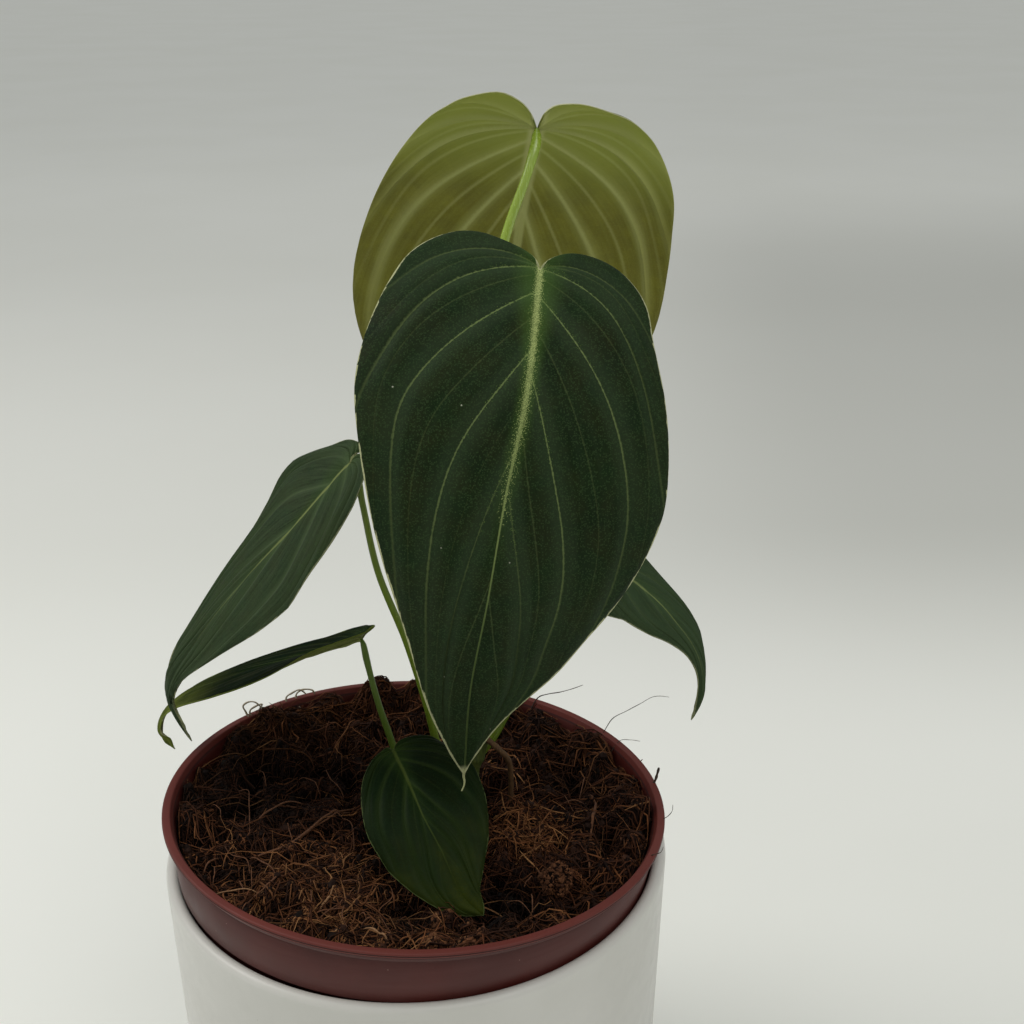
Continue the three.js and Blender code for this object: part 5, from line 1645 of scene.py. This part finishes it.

# %% [markdown]
# Between the strewn fibres lie some that the eye finds again in the photograph: a twisted rope of husk
# at the left, long bent strands along the front, a woody stub at the right. They are laid one by one.
# Each one is a radius and a row of places on the upright pot, from above, and it rests on the ground.

# %% Strands laid one by one
STRAND_LEVEL = -3.5
BROWN_STRANDS = [
    (0.45, (-35, -20.7, -29.4, -17.8, -24.9, -12.5, -20.6, -4.4, -14.8, 1)),
    (0.3, (-31.5, -19.2, -27.6, -16.9, -24.2, -10.7, -19.6, -5.2, -16.1, -1.3)),
    (0.3, (-38.5, -10.9, -34.9, -3.6, -32.1, 0.2, -28.3, 1.9)),
    (0.26, (-35.1, -40.9, -32.4, -36, -29, -32.1, -24.1, -29.1, -18.9, -24.6)),
    (0.24, (-36.6, -22, -33.4, -24.6, -29.3, -28.6)), (0.28, (-46, -29.4, -45.2, -26.6, -43.7, -22.5)),
    (0.16, (-43.1, -19.6, -40.8, -22.3, -37.2, -24.1, -35.7, -27.1)),
    (0.16, (-25.2, -18.8, -22.8, -21.5, -19.7, -23.7)), (0.18, (-17, -18.6, -15.1, -21.4, -13.4, -24)),
    (0.16, (-9.7, -17.3, -11.6, -19.5, -12.4, -20.4)),
    (0.18, (-19.2, -4.3, -17, -5.9, -15.1, -7.9, -13.9, -13.4, -13.2, -19.2)),
    (0.18, (-24.5, 17.5, -22, 11.3, -18.3, 5.9)), (0.14, (-41.2, 16.2, -39.3, 12.9, -37.9, 9.1)),
    (0.16, (-44.4, 6.7, -42.2, 5.9, -40.2, -2.2, -38.3, -12.6)),
    (0.2, (-16.6, -30.5, -13.4, -30.7, -9.3, -31.3)), (0.14, (-31.4, -28.4, -30.5, -31.4)),
    (0.14, (-35.6, -25.5, -34.7, -30.9, -34.3, -33.2)), (0.16, (-43.9, -26.1, -43.1, -29.9, -42.9, -33)),
    (0.18, (-37.5, -31.5, -35.6, -35.5)), (0.16, (-30, -8.6, -28.6, -13.6, -27.7, -16.1)),
    (0.14, (-49.6, -1.1, -47.1, -3.6, -46.1, -6.7)), (0.16, (-30.3, 12.6, -27, 10.9, -24.5, 7.3)),
    (0.22, (47.4, 39.8, 51, 31.9, 52, 23.4, 52.2, 19.2)),
    (0.2, (56.6, 20.3, 52.5, 17.9, 49.4, 10.9, 45.6, 6.1)), (0.22, (44.1, -0.9, 50.2, 2.3, 57.1, 2.5)),
    (0.5, (42.5, 9.1, 43.9, 6, 43.1, -0.4, 41.8, -9.5)), (0.22, (34.4, 5, 37.2, 5.5, 41.8, 6.5)),
    (0.2, (49.1, -7.2, 49.1, -11.4, 49.5, -14.8)), (0.24, (39, -9.1, 40.9, -17.1)),
    (0.18, (36.5, -13.1, 40.1, -13.1, 44, -13.7)), (0.16, (42.3, 19.8, 41.3, 14.3, 40.2, 8.9)),
    (0.16, (35.4, 11.9, 37.2, 4.8, 39.4, -0.7)), (0.16, (36.4, 41.2, 38.6, 40.7, 40.4, 37.8)),
    (0.22, (27.5, -31.5, 27.7, -37.2)), (0.14, (22.2, -34.3, 24.8, -36.3, 27.6, -38.6)),
    (0.3, (40.2, -16.1, 40.9, -20, 41, -23.1)), (0.2, (28.6, -21.6, 29.4, -25.4, 30.2, -29.8)),
    (0.2, (26, -28.6, 28.1, -25.8)), (0.18, (-21.6, -31.1, -21.2, -33.5, -20.5, -38, -19.6, -42.3)),
    (0.2, (-11.5, -31.2, -12.8, -36.6, -13.2, -39.9, -13.2, -43.4, -11.6, -46.2)),
    (0.18, (-19.7, -48.4, -18.3, -45.7, -15.8, -40.7, -13.3, -38, -11.3, -36.1)),
    (0.2, (-20.3, -45.6, -19.5, -43.8, -17.8, -42.2, -14.9, -40.6, -12.1, -39.8)),
    (0.16, (-4.2, -30, -3.4, -33, -3.1, -35.1, -3.6, -37.4, -5.5, -41.6, -3.9, -44.6, -2.6, -46)),
    (0.26, (-9, -44, -5.3, -43.9)), (0.2, (-9.8, -41.4, -7.8, -43.3)),
    (0.22, (-16.1, -37.5, -14.4, -37.7)), (0.18, (-4.4, -46.8, -2.7, -48.8, -1.8, -50.7))]
PALE_STRANDS = [
    (0.22, (-41.8, -36, -36.9, -35.7, -31.5, -35.2)), (0.34, (-18.3, -40.8, -17.2, -37.8, -16, -35.5)),
    (0.32, (-8.6, -45.5, -4.6, -49.2, -2.3, -51.1)), (0.28, (-13.9, -49.7, -13.4, -46.9))]


def lay_strands(name, strands, tones):
    laid_lines = []
    for radius, flat in strands:
        over = smooth_line(np.reshape(flat, (-1, 2)), 8)
        run = share_along(over)
        level = STRAND_LEVEL - 1.6 * np.abs(2 * run - 1) ** 3 + 0.25 * np.sin(9 * run + over[0, 0])
        level = np.maximum(level, ground(over[:, 0], over[:, 1]) + 0.4)
        line = np.column_stack([over, level])
        thinning = 1 - 0.35 * np.abs(2 * run - 1)
        laid_lines.append((line, 0.85 * radius * thinning * (1 + 0.12 * np.sin(run * 19))))
    piece = stalk(name, laid_lines, stalk_finish(name + "_brown", *tones, 0.75, 8.0), sides=6)
    piece.data.transform(pot_matrix)
    report(piece)
    return piece


brown_laid = lay_strands("coir_brown_laid", BROWN_STRANDS, ((70, 42, 25), (112, 70, 41), (150, 104, 66)))
pale_laid = lay_strands("coir_pale_laid", PALE_STRANDS, ((122, 88, 58), (150, 114, 80), (186, 152, 116)))

# %% [markdown]
# ## Crumbs
# Between the fibres lie crumbs of husk. They are many and tiny, so each is a lump of only twenty faces,
# pushed out of shape by noise when all of them have been made real.

# %% The crumb tree
crumb_tree, w, given, out = new_group(
    "Strewn Crumbs", "GeometryNodeTree",
    {"Ground": ("geometry",), "Density": ("float", 1e5), "Seed": ("int", 1), "Smallest": ("float", 0.0003),
     "Largest": ("float", 0.0014), "Roughness": ("float", 0.0004), "Patch": ("vector", (0, 0, 0)),
     "Patch Size": ("float", 1.0), "In Hollows": ("float", 0.3), "Finish": ("material",)},
    {"Crumbs": "geometry"})
lump = w.add("GeometryNodeMeshIcoSphere", {"Radius": 1.0, "Subdivisions": 1}).outputs[0]
share = w.math("POWER", chance(0.0, 1.0, next_seed(1)), 3.0)
size = w.plus(given["Smallest"], w.times(share, w.minus(given["Largest"], given["Smallest"])))
flatter = w.times(size, chance(0.5, 0.9, next_seed(2)))
angles = [chance(0.0, 6.28, next_seed(step)) for step in (3, 4, 5)]
crumbs_there = strew(lump, angles, (size, flatter, flatter), 6)
push = w.noise(w.position(), 900.0, detail=1.0).outputs["Color"]
push = w.scaled(w.vector("SUBTRACT", push, (0.5, 0.5, 0.5)), given["Roughness"])
rough = w.add("GeometryNodeSetPosition", {"Geometry": crumbs_there, "Offset": push}).outputs[0]
end_tree(w, rough, given, out["Crumbs"])

CRUMB_TONES = ((14, 9, 7), (30, 18, 13), (52, 31, 22), (36, 21, 15), (70, 43, 30))
LIGHT_CRUMB_TONES = ((60, 36, 24), (98, 62, 40), (124, 82, 54), (84, 52, 34), (140, 98, 66))


def strew_crumbs(name, tones, source, **inputs):
    return into_pot(grow(source, crumb_tree, name, Finish=strand_finish(name + "_brown", tones), **inputs))


crumbs = strew_crumbs("coir_crumbs", CRUMB_TONES, ground_sheet(), Density=4.2e5, Seed=51)
light_crumbs = strew_crumbs("coir_light_crumbs", LIGHT_CRUMB_TONES, ground_sheet(), Density=2.6e6, Seed=53,
                            Smallest=0.0003, Largest=0.0009, Patch=(0.009, -0.047, 0.0), Patch_Size=0.012)

# %% [markdown]
# A ball of pressed coir lies at the front right, as big as a hazelnut. It is a sphere made lumpy
# by a few waves, and the crumb tree covers it with small bits.

# %% A ball of coir
BALL_PLACE = (32.9, -30.5)
BALL_RADIUS = 3.3
BALL_RAISED = 2.4
BALL_RINGS = 24


def coir_ball():
    polar_angle = np.linspace(0, math.pi, BALL_RINGS + 1)[1:-1]
    round_angle = 2 * math.pi * np.arange(2 * BALL_RINGS) / (2 * BALL_RINGS)
    polar_grid, round_grid = np.meshgrid(polar_angle, round_angle, indexing="ij")
    direction = np.stack([np.sin(polar_grid) * np.cos(round_grid), np.sin(polar_grid) * np.sin(round_grid),
                          np.cos(polar_grid)], -1).reshape(-1, 3)
    direction = np.vstack([[(0, 0, 1)], direction, [(0, 0, -1)]])
    lumps = sum(0.07 * np.sin(direction @ np.array(wave) + shift) for wave, shift in (
        ((5, 3, -4), 0.4), ((-7, 5, 3), 2.0), ((4, -9, 6), 1.1), ((9, 8, 7), 3.0)))
    ground_there = ground(np.array(BALL_PLACE[:1]), np.array(BALL_PLACE[1:]))[0]
    middle = np.array([*BALL_PLACE, ground_there + BALL_RAISED])
    points = middle + direction * (BALL_RADIUS * (1 + lumps))[:, None]
    sides = 2 * BALL_RINGS
    faces = []
    for i in range(BALL_RINGS - 2):
        low, high = 1 + i * sides, 1 + (i + 1) * sides
        faces += [(low + j, high + j, high + (j + 1) % sides, low + (j + 1) % sides) for j in range(sides)]
    last = len(points) - 1
    for j in range(sides):
        following = (j + 1) % sides
        faces += [(0, 1 + j, 1 + following), (last, last - sides + following, last - sides + j)]
    piece = make_mesh("coir_ball", points, faces)
    smooth_shade(piece.data)
    return piece


ball = coir_ball()
ball.data.materials.append(bpy.data.materials["coir_dust"])
ball.data.transform(pot_matrix)
report(ball)
ball_crumbs = strew_crumbs("coir_ball_crumbs", LIGHT_CRUMB_TONES[:3], coir_ball(), Density=5e6, Seed=57,
                           Smallest=0.0002, Largest=0.0007, In_Hollows=1.0)

# %% [markdown]
# A few loose fibres stick out over the rim: two long thin ones at the back right, a dark stub beside them,
# short hairs at the right and a few pale curls at the back left. The stalk tree draws them all at once.

# %% Loose fibres at the rim
LOOSE_FIBRES = [
    ([(27, 48, 101), (30.3, 50.4, 106.5), (33.1, 50.8, 107.4), (36.4, 50.8, 108), (39.7, 50.8, 109),
      (42.7, 50.8, 110.2)], 0.2, 0.08),
    ([(45, 33, 101.5), (47.8, 34.6, 105.7), (49.9, 34.6, 109.3), (53.3, 34.6, 111.4), (57.2, 34.6, 113.8),
      (60, 34.6, 115.6), (62.1, 34.6, 115.9), (64.5, 34.6, 115.6)], 0.14, 0.06),
    ([(49, 28, 103), (51.4, 29.4, 105.6), (54.1, 29.4, 105.8), (56.7, 29.4, 105.4)], 0.1, 0.06),
    ([(57.2, 9.9, 103), (58.8, 10.2, 105.9), (59.2, 10.2, 107.5), (59.6, 10.2, 109.5)], 0.36, 0.3),
    ([(57.2, -6, 104.5), (59.6, -6.2, 106.1), (60.5, -6.2, 106.9), (61.2, -6.2, 108.1), (61.3, -6.2, 109.8)],
     0.12, 0.06),
    ([(53.4, -21.2, 105.5), (55.2, -21.7, 106.9), (56.9, -21.7, 107.5), (57.5, -21.7, 109)], 0.12, 0.06),
]
RIM_CURLS = [
    [(-45.4, 34.2, 107), (-47.4, 35.5, 111.2), (-48, 35.5, 113), (-46.6, 35.5, 114.2), (-44.8, 35.5, 114.2),
     (-43, 35.5, 112.4)],
    [(-45, 35, 107), (-46.5, 36.3, 110.9), (-44.8, 36.3, 112.5), (-43.1, 36.3, 113.1), (-44.1, 36.3, 111.3)],
    [(-37, 43, 106), (-38.2, 44.9, 110), (-36.5, 44.9, 111.5), (-34.3, 44.9, 112.5), (-32.7, 44.9, 111.2)],
    [(-34.6, 45, 106), (-35.8, 46.8, 109.7), (-34.1, 46.8, 111.4), (-31.3, 46.8, 111.3),
     (-30.6, 46.8, 110.1)],
]
CURL_RADII = (0.3, 0.2)
LOOSE_TONES = ((40, 30, 24), (74, 60, 48), (104, 88, 72))
CURL_TONES = ((150, 138, 116), (180, 168, 146), (200, 190, 170))


def loose(name, bent_fibres, tones):
    drawn = []
    for points, *end_radii in bent_fibres:
        line = smooth_line(points, 8)
        run = share_along(line)
        drawn.append((line, between_ends(end_radii, run) * (1 + 0.15 * np.sin(run * 23))))
    piece = stalk(name, drawn, stalk_finish(name + "_tone", *tones, 0.7, 6.0), sides=6)
    report(piece)
    return piece


loose_fibres = loose("coir_loose_fibres", LOOSE_FIBRES, LOOSE_TONES)
rim_curls = loose("coir_rim_curls", [(curl, *CURL_RADII) for curl in RIM_CURLS], CURL_TONES)

# %% [markdown]
# ## Stage and light
# The pot stands on a plain pale floor. The light is that of a bright room: a soft sky that is
# brighter overhead than at the sides, a large soft lamp from the upper left and another from the front.
# The floor carries a painted shade that makes it a little darker far behind at the right.

# %% Floor
FLOOR_HALF = 15000


def floor_finish():
    pale = Finish("pale_floor", Specular_IOR_Level=0.2)
    clouds = pale.use(patches_group, Size=240.0, Sharpness=0.0)
    base = pale.mix(clouds, colour(239, 240, 235), colour(242, 243, 239))
    x, y, _ = pale.parts(pale.place)
    # Painted shade: the floor is darker far behind at the right.
    far = pale.times(pale.ease(y, 180.0, 440.0), pale.ease(y, 900.0, 1600.0, 1.0, 0.1))
    aside = pale.plus(x, pale.times(y, -0.12))
    painted_floor_shade = pale.times(far, pale.ease(aside, -90.0, 190.0, 0.22, 0.6))
    base = pale.over(base, (176, 177, 172), painted_floor_shade)
    return pale.done(base, 0.7)


floor_corners = [(-FLOOR_HALF, -FLOOR_HALF, 0), (FLOOR_HALF, -FLOOR_HALF, 0), (FLOOR_HALF, FLOOR_HALF, 0),
                 (-FLOOR_HALF, FLOOR_HALF, 0)]
floor = make_mesh("floor", floor_corners, [(0, 1, 2, 3)])
floor.data.materials.append(floor_finish())

# %% [markdown]
# The sky fills the shadows, and its strength hangs on the height of the direction. The lamps are wide
# disks, because their shadows then have edges as soft as those in the photograph.

# %% Sky and lamps
world = bpy.data.worlds.new("soft_room")
world.use_nodes = True
bpy.context.scene.world = world
sky = Wiring(world.node_tree)
height = sky.parts(sky.add("ShaderNodeTexCoord").outputs["Generated"])[2]
strength = sky.ease(height, -0.1, 1.0, 0.24, 0.6)
background = world.node_tree.nodes["Background"]
background.inputs["Color"].default_value = colour(250, 252, 249)
sky.fill(background.inputs["Strength"], strength)


def soft_lamp(name, place, aim, size, power, tint=(255, 253, 248)):
    lamp = bpy.data.lights.new(name, "AREA")
    lamp.shape = "DISK"
    lamp.size = size
    lamp.energy = power
    lamp.color = colour(*tint)[:3]
    holder = bpy.data.objects.new(name, lamp)
    holder.location = place
    holder.rotation_euler = (Vector(aim) - Vector(place)).to_track_quat("-Z", "Y").to_euler()
    bpy.context.scene.collection.objects.link(holder)


soft_lamp("key_lamp", (-0.75, 0.1, 0.95), (-0.1, 0.1, 0.1), 0.7, 4.6)
soft_lamp("fill_lamp", (0.4, -0.6, 1.1), (0.0, 0.0, 0.1), 0.9, 3.4)
bpy.context.scene.view_settings.view_transform = "Standard"
bpy.context.scene.view_settings.look = "None"

# %% [markdown]
# ## Handing over to the frame
# The parts of the frame are hidden where finer pieces stand in for them, and a table lists the finish
# of the record for each piece. Nothing on this plant moves by itself, so all ride on the one body.

# %% What each piece stands for
SLOTS = {blades["back"]: "young_leaf", cover_pot: "white_glaze", nursery_pot: "terracotta_plastic",
         stem: "stem_green", aerial_root: "root_brown"}
for leaf_name in LEAVES:
    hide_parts(f"leaf_{leaf_name}")
    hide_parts(f"petiole_{leaf_name}")
    SLOTS.setdefault(blades[leaf_name], "velvet_leaf")
    SLOTS[petioles[leaf_name]] = "petiole_green"
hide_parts("cover_pot")
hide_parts("nursery_pot")
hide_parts("soil")
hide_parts("stem")
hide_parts("aerial_root")
SLOTS[drip_tip] = "velvet_leaf"
for piece in (bed, *fibre_pieces, brown_laid, pale_laid, crumbs, light_crumbs, ball, ball_crumbs,
              loose_fibres, rim_curls):
    SLOTS[piece] = "coir"
for piece, slot_name in SLOTS.items():
    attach(piece, "root")
print(len(SLOTS), "pieces ride on root")
